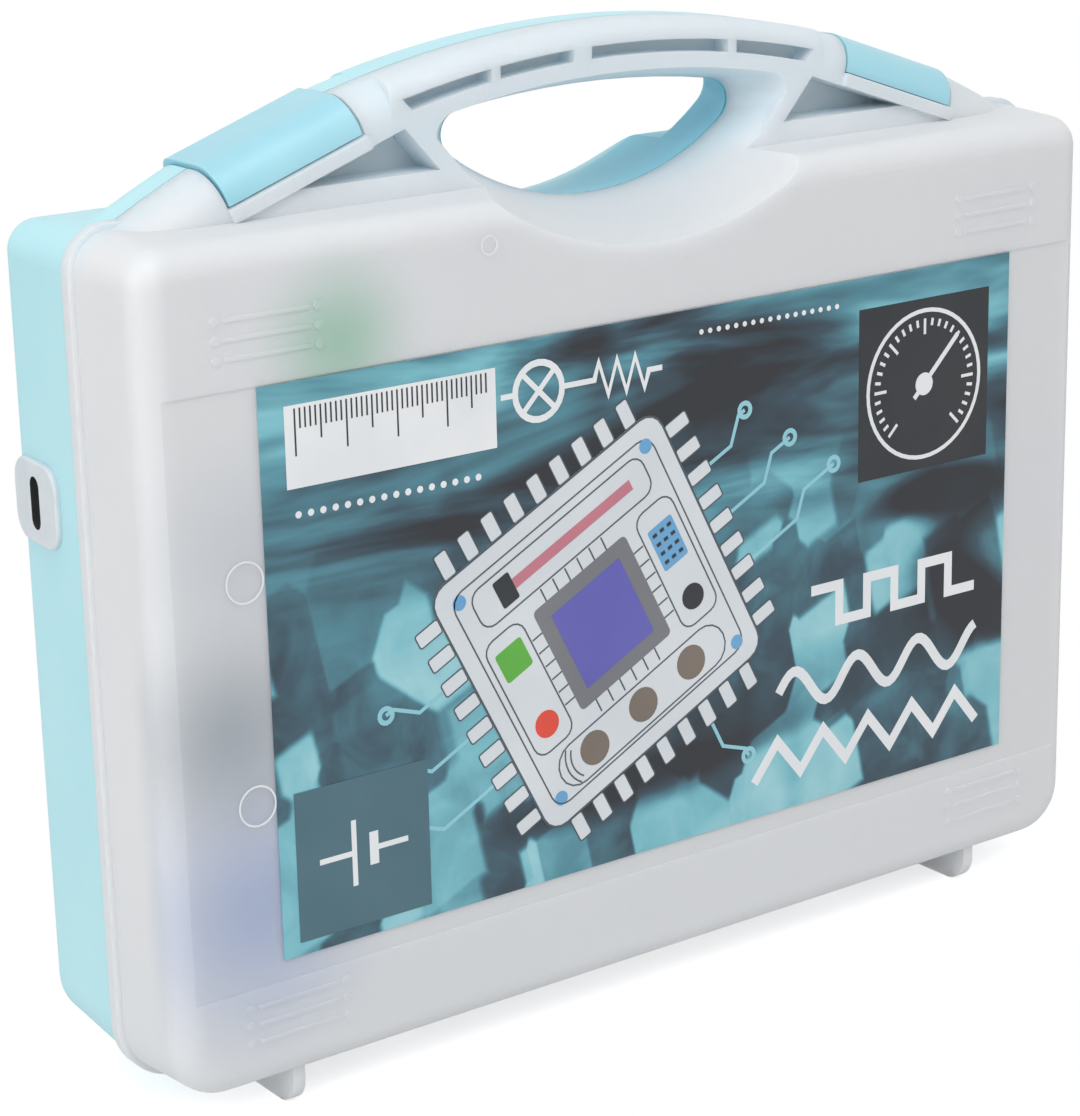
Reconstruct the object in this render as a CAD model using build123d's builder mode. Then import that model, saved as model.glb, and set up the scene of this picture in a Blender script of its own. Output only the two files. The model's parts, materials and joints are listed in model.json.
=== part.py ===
import math
import os

from build123d import *

# Microcontroller experiment kit in a hinged plastic carrying case, in millimetres.
# The case stands on its feet: +X to the right as seen from the lid, -Y towards the lid,
# +Z up. The origin lies on the ground under the middle of the case.
# Heights in the sketches are measured from the underside of the case body.

# Case
case_width = 210.0
body_height = 148.5
base_depth = 27.0
lid_clearance = 2.0
wall = 2.2
draft_angle = 4.0
bottom_corner = 11.0
top_corner = 7.0
outer_edge_round = 5.0
parting_gap = 0.3
flange_proud = 0.8
flange_width = 2.4
overcut = 1.0

# Feet
foot_height = 6.0
foot_thickness = 2.4
foot_start = 4.0
foot_end = 18.0
foot_round = 5.0
foot_sink = 1.9
lid_foot_inset = 25.5
base_foot_inset = 30.0

# Carrying handle and the arch over the case
arch_height = 24.7
arch_depth = 9.0
arch_back_depth = 12.5
shoulder_inset = 8.2
arch_sink = 1.6
handle_wall = 3.7
shoulder_run = 7.5
shoulder_round = 6.7
shoulder_back_round = 8.5
web_thickness = 2.0
rib_thickness = 1.8
middle_rib_x = -7.5
middle_rib_thickness = 3.8
groove_depth = 4.0
handle_round = 3.4
handle_back_round = 7.0
strut_gap = 2.4
strut_foot_height = 4.0
strut_lean = 42.0
strut_thickness = 3.1
pocket_floor = 3.2
hole_sink = 6.2
hole_bottom_radius = 50.0
hole_cover = 11.2
hole_top_radius = 183.0
hole_tip_round = 4.5
grip_band = 5.3
grip_flare = 2.5
pocket_rib_x = 26.0
well_front_drop = 6.3
well_front_radius = 62.0
well_back_drop = 3.6
well_back_radius = 58.0

# Latches on the sloping shoulders
latch_inset = 36.5
latch_slope = 19.0
latch_length = 27.5
latch_skin = 2.0
latch_end_gap = 0.5
latch_lip_gap = 0.3
latch_pivot_back = 6.5
latch_knuckle = 3.0
latch_pin_radius = 1.4
latch_pin_reach = 2.0
latch_back_gap = 0.4
latch_rib = 1.5
latch_rib_start = 1.0
latch_rib_width = 3.0
ledge_thickness = 2.4
ledge_reach = 1.0
running_gap = 0.05

# Lid hinge under the case
hinge_x = 52.0
hinge_drop = 3.3
hinge_knuckle = 2.4
hinge_pin_radius = 1.2
hinge_eye_width = 9.0
hinge_ear_width = 4.0
hinge_side_gap = 0.3
hinge_arm_depth = 4.8
hinge_sink = 1.0

# Label and the moulded marks on the lid
label_border = 21.25
label_band_gap = 4.1
label_thickness = 0.2
label_x = 0.75
label_rise = 1.7
band_bottom = 19.7
band_drop = 25.0
band_depth = 0.25
mark_inset = 24.4
mark_length = 16.0
mark_width = 0.7
mark_height = 0.2
mark_dot_radius = 0.8
mark_pitch = 3.2
mark_rows = 3
mark_low_row = 13.3
mark_row_drop = 16.7
mark_dot_reach = 9.7

# Experiment panel inside the base
board_front = 0.6
board_thickness = 1.6
board_side_gap = 11.5
board_bottom = 9.0
board_drop = 14.0
board_corner = 7.0
frame_thickness = 1.5
frame_side_gap = 6.0
frame_bottom = 4.6
frame_lip = 1.5
frame_hump_height = 7.0
frame_hump_run = 4.0
frame_dip_gap = 8.3
screw_inset = 4.15
screw_low_inset = 5.0
screw_high_inset = 4.5
screw_radius = 1.5
screw_head_radius = 3.0
screw_head_height = 2.0
screw_length = 12.0
screw_socket_width = 2.5
screw_socket_depth = 1.2
screw_fit = 0.05
boss_radius = 4.0
boss_bore_depth = 11.0
board_hole = 1.6
frame_side = 19.0
window_inset = 8.0
frame_dip_run = 1.7
frame_corner = 8.0

# Controller board behind the panel
controller_width = 68.6
controller_height = 53.4
controller_gap = 4.0
controller_middle = 98.0
controller_thickness = 1.6
controller_corner = 1.5
controller_hole = 1.6
controller_hole_inset = 3.2
controller_boss_radius = 3.0
controller_boss_height = 4.9
controller_screw_radius = 1.25
controller_screw_head = 1.8
controller_screw_head_radius = 2.6
chip_length = 35.6
chip_width = 7.0
chip_height = 3.6
chip_inset = 41.0
chip_drop = 16.0
chip_bevel = 0.4
socket_depth = 8.5
socket_width = 2.5
socket_edge = 2.6
socket_long = 43.0
socket_short = 35.5
socket_inset = 39.0
reset_body = 6.0
reset_body_height = 3.2
reset_cap_radius = 1.7
reset_cap_height = 1.4
reset_inset = 13.0
reset_drop = 17.0
reset_cap_hold = 1.5
reset_travel = 0.25
reset_play = 0.2

# Port in the left wall
port_width = 8.94
port_height = 3.26
port_length = 8.6
port_wall = 0.3
port_back = 1.0
port_set_back = 1.7
port_rise = 2.0
tongue_width = 6.7
tongue_thickness = 0.7
tongue_length = 6.0
grommet_width = 17.0
grommet_height = 14.6
grommet_corner = 4.6
grommet_plug_width = 7.2
grommet_plug_height = 12.8
grommet_flange = 1.0
grommet_fit = 0.15
plug_corner = 3.0
port_fit = 0.12

# Modules on the panel
display_x = 1.0
display_middle = 29.5
display_board_width = 80.0
display_board_height = 32.0
display_board_thickness = 1.6
display_bezel_width = 72.0
display_bezel_height = 25.5
display_bezel_depth = 7.0
display_window_width = 64.5
display_window_height = 14.6
display_bezel_shift = 2.0
display_bevel = 0.6
display_corner = 1.0
display_header_shift = 12.0
display_glass_depth = 2.0
glass_set_back = 0.4
glass_fit = 0.1
pin_pitch = 2.54
pin_side = 0.64
pin_stub = 2.0
header_height = 2.5
display_pins = 16
sonic_x = 32.5
sonic_middle = 63.0
sonic_spacing = 25.6
sonic_can_radius = 8.0
sonic_can_height = 12.0
sonic_can_wall = 0.6
sonic_mesh_thickness = 0.4
sonic_mesh_inset = 1.0
sonic_board_width = 45.0
sonic_board_height = 20.0
sonic_pins = 4
servo_inset = 26.5
servo_middle = 36.5
servo_body_width = 12.2
servo_body_length = 22.8
servo_body_back = 15.5
servo_body_front = 4.2
servo_flange_length = 32.2
servo_flange_thickness = 2.4
servo_gear_radius = 5.9
servo_gear_height = 4.0
servo_shaft_radius = 2.0
servo_shaft_height = 3.0
servo_screw_spacing = 27.8
servo_screw_radius = 1.0
servo_screw_head = 1.9
servo_slot_fit = 0.4
horn_hub_radius = 3.6
horn_length = 16.0
horn_tip_radius = 2.0
horn_thickness = 1.6
horn_hub_depth = 3.4
horn_hole = 0.6
horn_angle = -58.0
horn_lift = 0.3
horn_root = 3.0
horn_holes = 5
horn_hole_pitch = 2.0
horn_hole_first = 5.5
slide_inset = 4.5
slide_length = 49.0
slide_middle = 60.0
slide_body_height = 9.0
slide_body_depth = 7.0
slide_slot_width = 2.4
slide_slot_length = 35.0
slide_slot_depth = 5.0
slide_travel = 30.0
slide_lever_width = 4.0
slide_lever_thickness = 1.2
slide_lever_reach = 4.0
slide_cap_length = 6.0
slide_cap_width = 9.0
slide_cap_height = 6.5
slide_cap_lift = 0.8
slide_cap_round = 0.8
lever_play = 0.3
button_inset = 37.5
button_drop = 15.0
button_body = 12.0
button_body_height = 3.5
button_bevel = 0.4
button_stem_radius = 1.75
button_stem_hold = 2.2
button_cap_round = 0.8
button_cap_side = 10.4
button_cap_height = 7.5
button_travel = 0.35
button_play = 0.3
led_inset = 43.0
led_drop = 48.5
led_radius = 5.0
led_length = 9.0
led_collar = 1.0
led_dome = 4.6
sound_inset = 16.0
sound_drop = 42.5
sound_radius = 4.85
sound_height = 5.2
sound_rim = 1.0
infrared_inset = 17.8
infrared_drop = 20.5
infrared_width = 6.0
infrared_height = 7.0
infrared_depth = 4.0
infrared_lens = 2.3
motion_x = -16.0
motion_middle = 62.0
motion_base_radius = 7.6
motion_base_height = 3.0
motion_dome_radius = 6.4
motion_dome_rim = 2.5
dome_flat = 0.5
buzzer_inset = 16.0
buzzer_middle = 60.5
buzzer_radius = 6.0
buzzer_height = 8.5
buzzer_hole = 1.2
buzzer_hole_depth = 2.0
buzzer_round = 0.6
relay_board_shift = 0.25
relay_board_middle = 30.5
relay_board_width = 34.0
relay_board_height = 24.0
relay_length = 19.0
relay_width = 15.4
relay_height = 14.6
relay_bevel = 0.5
relay_shift = 5.5
terminal_width = 7.6
terminal_length = 15.2
terminal_height = 10.0
terminal_shift = 11.9
terminal_screw_radius = 1.9
terminal_screw_pitch = 5.08
terminal_screw_count = 3
terminal_screw_depth = 1.8
terminal_screw_set = 0.3
terminal_slot_width = 0.6
climate_inset = 15.2
climate_drop = 25.5
climate_width = 12.0
climate_height = 15.5
climate_depth = 5.5
climate_rows = 4
climate_columns = 3
climate_vent_pitch_x = 3.4
climate_vent_pitch_z = 3.0
climate_vent_width = 2.4
climate_vent_height = 1.2
climate_vent_depth = 1.0
touch_inset = 40.5
touch_drop = 18.0
touch_radius = 5.5
touch_thickness = 0.4
light_inset = 38.9
light_drop = 44.0
light_radius = 2.5
light_height = 2.2
light_cut_height = 4.2
connector_length = 12.4
connector_width = 5.8
connector_depth = 6.8
connector_wall = 0.8
connector_x = (-19.0, 5.0, 28.5)
connector_drops = (8.5, 18.5)
carrier_corner = 1.0

# Places that follow from the sizes above
lid_depth = wall + board_front + board_thickness + relay_height + lid_clearance
parting_y = (lid_depth + mark_height - base_depth) / 2
slope = math.radians(latch_slope)
slope_tangent = math.tan(slope)
strut_angle = math.radians(strut_lean)
arch_rise = body_height + arch_height
shoulder_reach = case_width / 2 - shoulder_inset
arch_radius = (shoulder_reach**2 + arch_height**2) / (2 * arch_height)
arch_centre = arch_rise - arch_radius
hole_bottom = body_height - hole_sink
hole_top = arch_rise - hole_cover
hole_rings = hole_bottom + hole_bottom_radius - hole_top + hole_top_radius
hole_tip_share = (hole_rings**2 + hole_top_radius**2 - hole_bottom_radius**2) / (2 * hole_rings)
hole_tip_x = math.sqrt(hole_top_radius**2 - hole_tip_share**2)
strut_foot_x = hole_tip_x - hole_tip_round + strut_gap
strut_foot = body_height + strut_foot_height
latch_x = case_width / 2 - latch_inset
latch_line = arch_centre + math.sqrt(arch_radius**2 - latch_x**2)
side_lean = math.tan(math.radians(draft_angle))
latch_room = latch_length / 2 + latch_end_gap
handle_half_width = latch_x - latch_room * math.cos(slope) - shoulder_run
lid_ledge_under = shoulder_round + latch_lip_gap + ledge_thickness
hinge_zone = hinge_eye_width + 2 * hinge_ear_width + 4 * hinge_side_gap
lid_foot_x = case_width / 2 - lid_foot_inset
base_foot_x = case_width / 2 - base_foot_inset
base_inside = base_depth - wall
panel_back = board_thickness + frame_thickness - board_front
controller_front = base_inside - controller_boss_height - controller_thickness
ledge_depth = arch_depth + ledge_reach
web_drop = latch_skin + ledge_thickness
latch_bend = arch_depth - shoulder_round
latch_rib_foot = arch_depth - latch_rib_width
latch_slot_floor = 2 * latch_knuckle + 2 * latch_back_gap
latch_slot_back = latch_pivot_back + latch_knuckle + latch_back_gap
hinge_pin_length = hinge_eye_width + 2 * hinge_ear_width + 2 * hinge_side_gap
band_top = body_height - band_drop
label_width = case_width - 2 * label_border
label_height = band_top - band_bottom - label_band_gap
label_middle = (band_bottom + band_top) / 2 + label_rise
mark_x = case_width / 2 - mark_inset
mark_high_row = body_height - mark_row_drop
board_width = case_width - 2 * board_side_gap
board_side = board_width / 2
board_top = body_height - board_drop
frame_width = case_width - 2 * frame_side_gap
frame_shoulder = board_top + frame_lip
frame_hump = frame_shoulder + frame_hump_height
frame_dip = hole_bottom - frame_dip_gap
frame_dip_x = hole_tip_x + frame_dip_run
frame_hump_x = frame_dip_x + frame_hump_run
screw_span_x = board_width - 2 * screw_inset
screw_low = board_bottom + screw_low_inset
screw_high = board_top - screw_high_inset
screw_middle = (screw_low + screw_high) / 2
screw_span_z = screw_high - screw_low
window_width = frame_width - 2 * frame_side
window_height = screw_span_z - 2 * window_inset
controller_left = controller_gap - case_width / 2
controller_x = controller_left + controller_width / 2
controller_hole_x = controller_width - 2 * controller_hole_inset
controller_hole_z = controller_height - 2 * controller_hole_inset
chip_x = controller_left + chip_inset
socket_x = controller_left + socket_inset
reset_x = controller_left + reset_inset
port_mouth_x = port_set_back - case_width / 2
port_middle = controller_middle + port_rise
port_depth = controller_front - port_height / 2
grommet_reach = wall + 2 * grommet_flange
horn_hole_span = horn_hole_pitch * (horn_holes - 1)
servo_x = servo_inset - board_side
slide_left = slide_inset - board_side
button_x = button_inset - board_side
button_middle = board_top - button_drop
led_x = led_inset - board_side
led_middle = board_top - led_drop
sound_x = sound_inset - board_side
sound_middle = board_top - sound_drop
infrared_x = infrared_inset - board_side
infrared_middle = board_top - infrared_drop
buzzer_x = board_side - buzzer_inset
display_end = display_x + display_board_width / 2
relay_board_x = (display_end + board_side) / 2 + relay_board_shift
relay_x = relay_board_x - relay_shift
terminal_x = relay_board_x + terminal_shift
climate_x = board_side - climate_inset
climate_middle = board_top - climate_drop
touch_x = board_side - touch_inset
touch_middle = board_top - touch_drop
light_x = board_side - light_inset
light_middle = board_top - light_drop
os.makedirs("parts", exist_ok=True)


def facing_lid(back):
    """Plane that lies this far behind the parting plane and looks out through the lid."""
    return Plane(origin=(0, parting_y + back, foot_height), x_dir=(1, 0, 0), z_dir=(0, -1, 0))


def facing_back(back):
    """Plane that lies this far behind the parting plane and looks out through the base."""
    return Plane(origin=(0, parting_y + back, foot_height), x_dir=(-1, 0, 0), z_dir=(0, 1, 0))


def across(x):
    """Plane that cuts the case at this x and looks to the right, sketched in Y and height."""
    return Plane(origin=(x, parting_y, foot_height), x_dir=(0, 1, 0), z_dir=(1, 0, 0))


def body_face(grow):
    """Front view of the case body, larger by grow on all four sides."""
    half = case_width / 2 + grow
    with BuildSketch() as face:
        with Locations((0, body_height / 2)):
            Rectangle(2 * half, body_height + 2 * grow)
        low = face.vertices().group_by(Axis.Y)[0]
        fillet(low, bottom_corner + grow)
        high = face.vertices().group_by(Axis.Y)[-1]
        fillet(high, top_corner + grow)
    return face.sketch


def arch_face(drop, half_width):
    """Front view of the arch over the case, lowered by drop and cut off at half_width."""
    floor = body_height - arch_sink
    with BuildSketch() as face:
        with Locations((0, arch_centre)):
            Circle(arch_radius - drop)
        with Locations((0, (floor + arch_rise) / 2)):
            Rectangle(2 * half_width, arch_rise - floor, mode=Mode.INTERSECT)
    return face.sketch


def slope_height(x, below):
    """Height of the latch's slope at x, lowered by below square to the slope."""
    return latch_line - (x - latch_x) * slope_tangent - below / math.cos(slope)


def on_slope(along, below):
    """Point in the front view: this far outwards along the slope and this far under it."""
    x = latch_x + along * math.cos(slope) - below * math.sin(slope)
    z = latch_line - along * math.sin(slope) - below * math.cos(slope)
    return (x, z)


def slope_band(top, bottom, inner, outer):
    """Four-sided face under the slope, between two depths and two places along it."""
    with BuildSketch() as face:
        with BuildLine():
            Polyline(
                on_slope(inner, top),
                on_slope(outer, top),
                on_slope(outer, bottom),
                on_slope(inner, bottom),
                close=True,
            )
        make_face()
        mirror(about=Plane.YZ)
    return face.sketch


# Tapered bodies that the shells are cut from
def tray(grow, plane, depth):
    """Body face drawn out with draft towards the front or the back, its far edges rounded."""
    with BuildPart() as body:
        with BuildSketch(plane):
            add(body_face(grow))
        extrude(amount=depth, taper=draft_angle)
        fillet(body.faces().sort_by(Axis(plane.origin, plane.z_dir))[-1].edges(), outer_edge_round + grow)
    return body.part


def well_ring(reach, depth, drop, radius):
    """Radius and centre height of the scoop under the handle, this far from the parting."""
    share = reach / depth
    ring = hole_bottom_radius + (radius - hole_bottom_radius) * share
    return ring, hole_bottom - drop * share + ring


def well(plane, depth, drop, radius, grow):
    """Sloping cutter from the handle hole's lower edge out to the shell's face."""
    with BuildPart() as cone:
        for reach in (-overcut, depth + overcut):
            ring, centre = well_ring(reach, depth, drop, radius)
            with BuildSketch(plane.offset(reach)):
                with Locations((0, centre)):
                    Circle(ring + grow)
        loft(ruled=True)
    return cone.part


def finger_hole(plane, scoop, depth):
    """Cutter for the finger hole: the scoop, closed above by a flaring arc, tips rounded."""
    with BuildPart() as opening:
        for reach in (-overcut, depth + overcut):
            with BuildSketch(plane.offset(reach)):
                with Locations((0, hole_top - hole_top_radius)):
                    Circle(hole_top_radius + grip_flare * reach / depth)
        loft(ruled=True)
        add(scoop, mode=Mode.INTERSECT)
        tips = opening.edges().filter_by(lambda edge: edge.bounding_box().size.Y > depth)
        fillet(tips, hole_tip_round)
    return opening.part


def grip_outline(ring, centre):
    """Front view of the grip band round the finger hole, filled."""
    with BuildSketch() as face:
        with Locations((0, centre)):
            Circle(ring + grip_band)
        with Locations((0, hole_top - hole_top_radius)):
            Circle(hole_top_radius + grip_band, mode=Mode.INTERSECT)
    return face.sketch


def strut_x(z, outer):
    """Where the leaning strut at the handle's root has its inner or outer side."""
    inner = strut_foot_x + (z - strut_foot) * math.tan(strut_angle)
    return inner + outer * strut_thickness / math.cos(strut_angle)


def handle_pockets(grip):
    """Front view of the pockets between the grip band, the top wall, the ribs and struts."""
    with BuildSketch() as face:
        add(arch_face(handle_wall, handle_half_width))
        with BuildLine():
            Polyline(
                (-strut_x(strut_foot, 0), strut_foot),
                (strut_x(strut_foot, 0), strut_foot),
                (strut_x(arch_rise, 0), arch_rise),
                (-strut_x(arch_rise, 0), arch_rise),
                close=True,
            )
        make_face(mode=Mode.INTERSECT)
        add(grip, mode=Mode.SUBTRACT)
        with Locations((-pocket_rib_x, arch_rise), (pocket_rib_x, arch_rise)):
            Rectangle(rib_thickness, arch_rise - body_height, mode=Mode.SUBTRACT)
        with Locations((middle_rib_x, arch_rise)):
            Rectangle(middle_rib_thickness, arch_rise - body_height, mode=Mode.SUBTRACT)
    return face.sketch


def handle_struts(plane, block, depth):
    """Leaning struts at the handle's roots, cut out of its plain block."""
    floor = body_height - arch_sink - overcut
    with BuildPart() as struts:
        add(block)
        with BuildSketch(plane):
            with BuildLine():
                Polyline(
                    (strut_x(floor, 0), floor),
                    (strut_x(arch_rise, 0), arch_rise),
                    (strut_x(arch_rise, 1), arch_rise),
                    (strut_x(floor, 1), floor),
                    close=True,
                )
            make_face()
            mirror(about=Plane.YZ)
        extrude(amount=depth, mode=Mode.INTERSECT)
    return struts.part


def latch_pocket(below):
    """Front view of the three-sided pockets between strut, ledge and case body."""
    floor = body_height + pocket_floor
    line = slope_height(0, below)
    top_x = (strut_x(0, 1) + math.tan(strut_angle) * line) / (1 + math.tan(strut_angle) * slope_tangent)
    tip_x = (line - floor) / slope_tangent
    with BuildSketch() as face:
        with BuildLine():
            top = (top_x, slope_height(top_x, below))
            Polyline((strut_x(floor, 1), floor), (tip_x, floor), top, close=True)
        make_face()
        mirror(about=Plane.YZ)
    return face.sketch


def shoulder_hollow(plane, depth, crest_round):
    """Space inside the rounded shoulders, outside the latches and open to the case below."""
    inner = latch_length / 2 + latch_end_gap + wall
    floor = body_height - wall - overcut
    with BuildPart() as space:
        with BuildSketch(plane):
            with Locations((0, arch_centre)):
                Circle(arch_radius - wall)
            with Locations((0, (floor + arch_rise) / 2)):
                Rectangle(case_width - 2 * (wall + top_corner), arch_rise - floor, mode=Mode.INTERSECT)
        extrude(amount=depth - wall)
        crest = space.edges().filter_by(GeomType.CIRCLE).sort_by(Axis(plane.origin, plane.z_dir))[-1]
        fillet(crest, crest_round - wall)
        with BuildSketch(plane.offset(-overcut)):
            with BuildLine():
                Polyline(
                    on_slope(inner, -2 * wall),
                    on_slope(inner, arch_depth + wall),
                    (0, floor - 2 * wall),
                    (0, arch_rise + wall),
                    on_slope(-arch_depth, -2 * wall),
                    close=True,
                )
            make_face()
            mirror(about=Plane.YZ)
        extrude(amount=depth + 2 * overcut, mode=Mode.SUBTRACT)
    return space.part


def arch_block(plane, half_width, depth, edge_round):
    """Plain half of the arch with the outer edge of its crest rounded."""
    with BuildPart() as block:
        with BuildSketch(plane):
            add(arch_face(0, half_width))
        extrude(amount=depth)
        crest = block.edges().filter_by(GeomType.CIRCLE).sort_by(Axis(plane.origin, plane.z_dir))[-1]
        fillet(crest, edge_round)
    return block.part


def arch_half(plane, depth, shoulders, handle, scoop, ring):
    """Half of the arch: rounded shoulders, the handle, its hole, grooves, pockets and struts."""
    pockets = handle_pockets(grip_outline(*ring))
    with BuildPart() as half:
        add(shoulders)
        add(handle)
        add(finger_hole(plane, scoop, depth), mode=Mode.SUBTRACT)
        with BuildSketch(plane.offset(depth - groove_depth)):
            add(pockets)
        extrude(amount=depth, mode=Mode.SUBTRACT)
        with BuildSketch(plane.offset(-overcut)):
            add(pockets)
        extrude(amount=overcut + depth - groove_depth - web_thickness, mode=Mode.SUBTRACT)
        add(handle_struts(plane, handle, depth))
    return half.part


def foot(x, sign):
    """Flat fin under the case; sign is -1 under the lid and 1 under the base."""
    middle = sign * (foot_start + foot_end) / 2
    top = foot_sink
    with BuildPart() as fin:
        with BuildSketch(across(x - foot_thickness / 2)):
            with Locations((middle, (top - foot_height) / 2)):
                Rectangle(foot_end - foot_start, foot_height + top)
        extrude(amount=foot_thickness)
        low = fin.edges().filter_by(Axis.X).group_by(Axis.Z)[0]
        outer = low.sort_by(Axis.Y)[0 if sign < 0 else -1]
        fillet(outer, foot_round)
    return fin.part


def hinge_leaf(x, width, sign, bore):
    """Knuckle round the hinge axis with its arm up to the case; sign picks the half."""
    near = sign * parting_gap / 2
    far = sign * hinge_arm_depth
    flank = hinge_knuckle * math.sqrt(0.5)
    with BuildPart() as leaf:
        with BuildSketch(across(x - width / 2)):
            with BuildLine():
                Polyline(
                    (near, hinge_sink),
                    (far, hinge_sink),
                    (far, -hinge_sink),
                    (sign * flank, -hinge_drop - flank),
                    (near, -hinge_drop),
                    close=True,
                )
            make_face()
            with Locations((0, -hinge_drop)):
                Circle(hinge_knuckle)
                if bore > 0:
                    Circle(bore, mode=Mode.SUBTRACT)
        extrude(amount=width)
    return leaf.part


def plate(plane, width, height, thickness, x, z, corner):
    """Flat plate with rounded corners, standing on a plane and centred at x and z."""
    with BuildPart() as slab:
        with BuildSketch(plane):
            with Locations((x, z)):
                RectangleRounded(width, height, corner)
        extrude(amount=thickness)
    return slab.part


slope_start = on_slope(-latch_length / 2, 0)
latch_plane = Plane(
    origin=(slope_start[0], parting_y, foot_height + slope_start[1]),
    x_dir=(0, 1, 0),
    z_dir=(math.cos(slope), 0, -math.sin(slope)),
)
port_wall_x = (port_depth - parting_gap / 2) * side_lean - case_width / 2
lean = math.radians(draft_angle)
port_wall_plane = Plane(
    origin=(port_wall_x, parting_y + port_depth, foot_height + port_middle),
    x_dir=(math.sin(lean), math.cos(lean), 0),
    z_dir=(-math.cos(lean), math.sin(lean), 0),
)
lid_rim = facing_lid(-parting_gap / 2)
base_rim = facing_back(parting_gap / 2)
lid_reach = lid_depth - parting_gap / 2
base_reach = base_depth - parting_gap / 2
lid_well = well(lid_rim, lid_reach, well_front_drop, well_front_radius, 0)
base_well = well(base_rim, base_reach, well_back_drop, well_back_radius, 0)
lid_well_inside = well(lid_rim, lid_reach, well_front_drop, well_front_radius, wall)
base_well_inside = well(base_rim, base_reach, well_back_drop, well_back_radius, wall)
lid_ring = well_ring(arch_depth, lid_reach, well_front_drop, well_front_radius)
base_ring = well_ring(arch_back_depth, base_reach, well_back_drop, well_back_radius)
arch_half_width = case_width / 2 - wall
lid_crest = arch_block(lid_rim, arch_half_width, arch_depth, shoulder_round)
base_crest = arch_block(base_rim, arch_half_width, arch_back_depth, shoulder_back_round)
lid_handle = arch_block(lid_rim, handle_half_width, arch_depth, handle_round)
base_handle = arch_block(base_rim, handle_half_width, arch_back_depth, handle_back_round)
lid_arch = arch_half(lid_rim, arch_depth, lid_crest, lid_handle, lid_well, lid_ring)
base_arch = arch_half(base_rim, arch_back_depth, base_crest, base_handle, base_well, base_ring)
lid_block = tray(0, lid_rim, lid_reach)
base_block = tray(0, base_rim, base_reach)
lid_space = tray(-wall, lid_rim, lid_reach - wall)
base_space = tray(-wall, base_rim, base_reach - wall)
lid_shoulders = shoulder_hollow(lid_rim, arch_depth, shoulder_round)
base_shoulders = shoulder_hollow(base_rim, arch_back_depth, shoulder_back_round)
lid_feet = [foot(side * lid_foot_x, -1) for side in (-1, 1)]
base_feet = [foot(side * base_foot_x, 1) for side in (-1, 1)]
eye_bore = hinge_pin_radius + running_gap
lid_eyes = [hinge_leaf(side * hinge_x, hinge_eye_width, -1, eye_bore) for side in (-1, 1)]
ear_shift = (hinge_eye_width + hinge_ear_width) / 2 + hinge_side_gap
ear_places = [side * hinge_x + edge * ear_shift for side in (-1, 1) for edge in (-1, 1)]
base_ears = [hinge_leaf(x, hinge_ear_width, 1, 0) for x in ear_places]

# Space inside the lid
with BuildPart() as lid_hollow:
    add(lid_space)
    add(lid_well_inside, mode=Mode.SUBTRACT)
    add(lid_shoulders)

# Space inside the base
with BuildPart() as base_hollow:
    add(base_space)
    add(base_well_inside, mode=Mode.SUBTRACT)
    add(base_shoulders)

# Holes in the base for the pins at both ends of each latch
with BuildPart() as right_bore:
    with BuildSketch(latch_plane.offset(-latch_pin_reach - latch_back_gap)):
        with Locations((latch_pivot_back, -latch_knuckle)):
            Circle(latch_pin_radius + running_gap)
    extrude(amount=latch_length + 2 * (latch_pin_reach + latch_back_gap))
with BuildPart() as left_bore:
    mirror(right_bore.part, about=Plane.YZ)
pivot_bores = [left_bore.part, right_bore.part]

# Lid: a drafted tray with the front half of the handle and a proud rim at the parting
with BuildPart() as lid_shell:
    add(lid_block)
    with BuildSketch(lid_rim):
        add(body_face(flange_proud))
    extrude(amount=flange_width)
    add(lid_well, mode=Mode.SUBTRACT)
    add(lid_arch)
    with BuildSketch(lid_rim.offset(-overcut)):
        add(slope_band(-arch_depth, shoulder_round + latch_lip_gap, -latch_room, latch_room))
    extrude(amount=lid_depth, mode=Mode.SUBTRACT)
    with BuildSketch(lid_rim):
        add(slope_band(shoulder_round + latch_lip_gap, lid_ledge_under, -latch_room, latch_room))
    extrude(amount=ledge_depth)
    with BuildSketch(lid_rim.offset(web_thickness)):
        add(latch_pocket(lid_ledge_under))
    extrude(amount=ledge_depth, mode=Mode.SUBTRACT)
    add(lid_hollow.part, mode=Mode.SUBTRACT)
    with BuildSketch(lid_rim.offset(lid_reach - band_depth)):
        with Locations((0, (band_bottom + band_top) / 2)):
            Rectangle(case_width, band_top - band_bottom)
    extrude(amount=lid_depth, mode=Mode.SUBTRACT)
    with BuildSketch(lid_rim):
        with Locations((-hinge_x, 0), (hinge_x, 0)):
            Rectangle(hinge_zone, 2 * flange_proud + hinge_sink)
        with Locations((0, body_height / 2)):
            Rectangle(case_width, body_height, mode=Mode.SUBTRACT)
    extrude(amount=hinge_arm_depth, mode=Mode.SUBTRACT)
    for fin in lid_feet:
        add(fin)
    for eye in lid_eyes:
        add(eye)
    with BuildSketch(lid_rim.offset(lid_reach)):
        for side in (-1, 1):
            for row in (mark_low_row, mark_high_row):
                with Locations((side * mark_x, row)):
                    with GridLocations(0, mark_pitch, 1, mark_rows):
                        Rectangle(mark_length, mark_width)
                    with GridLocations(2 * mark_dot_reach, mark_pitch, 2, mark_rows):
                        Circle(mark_dot_radius)
    extrude(amount=mark_height)
lid_shell.part.label = "lid_shell"
export_step(lid_shell.part, "parts/lid_shell.step")

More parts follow.
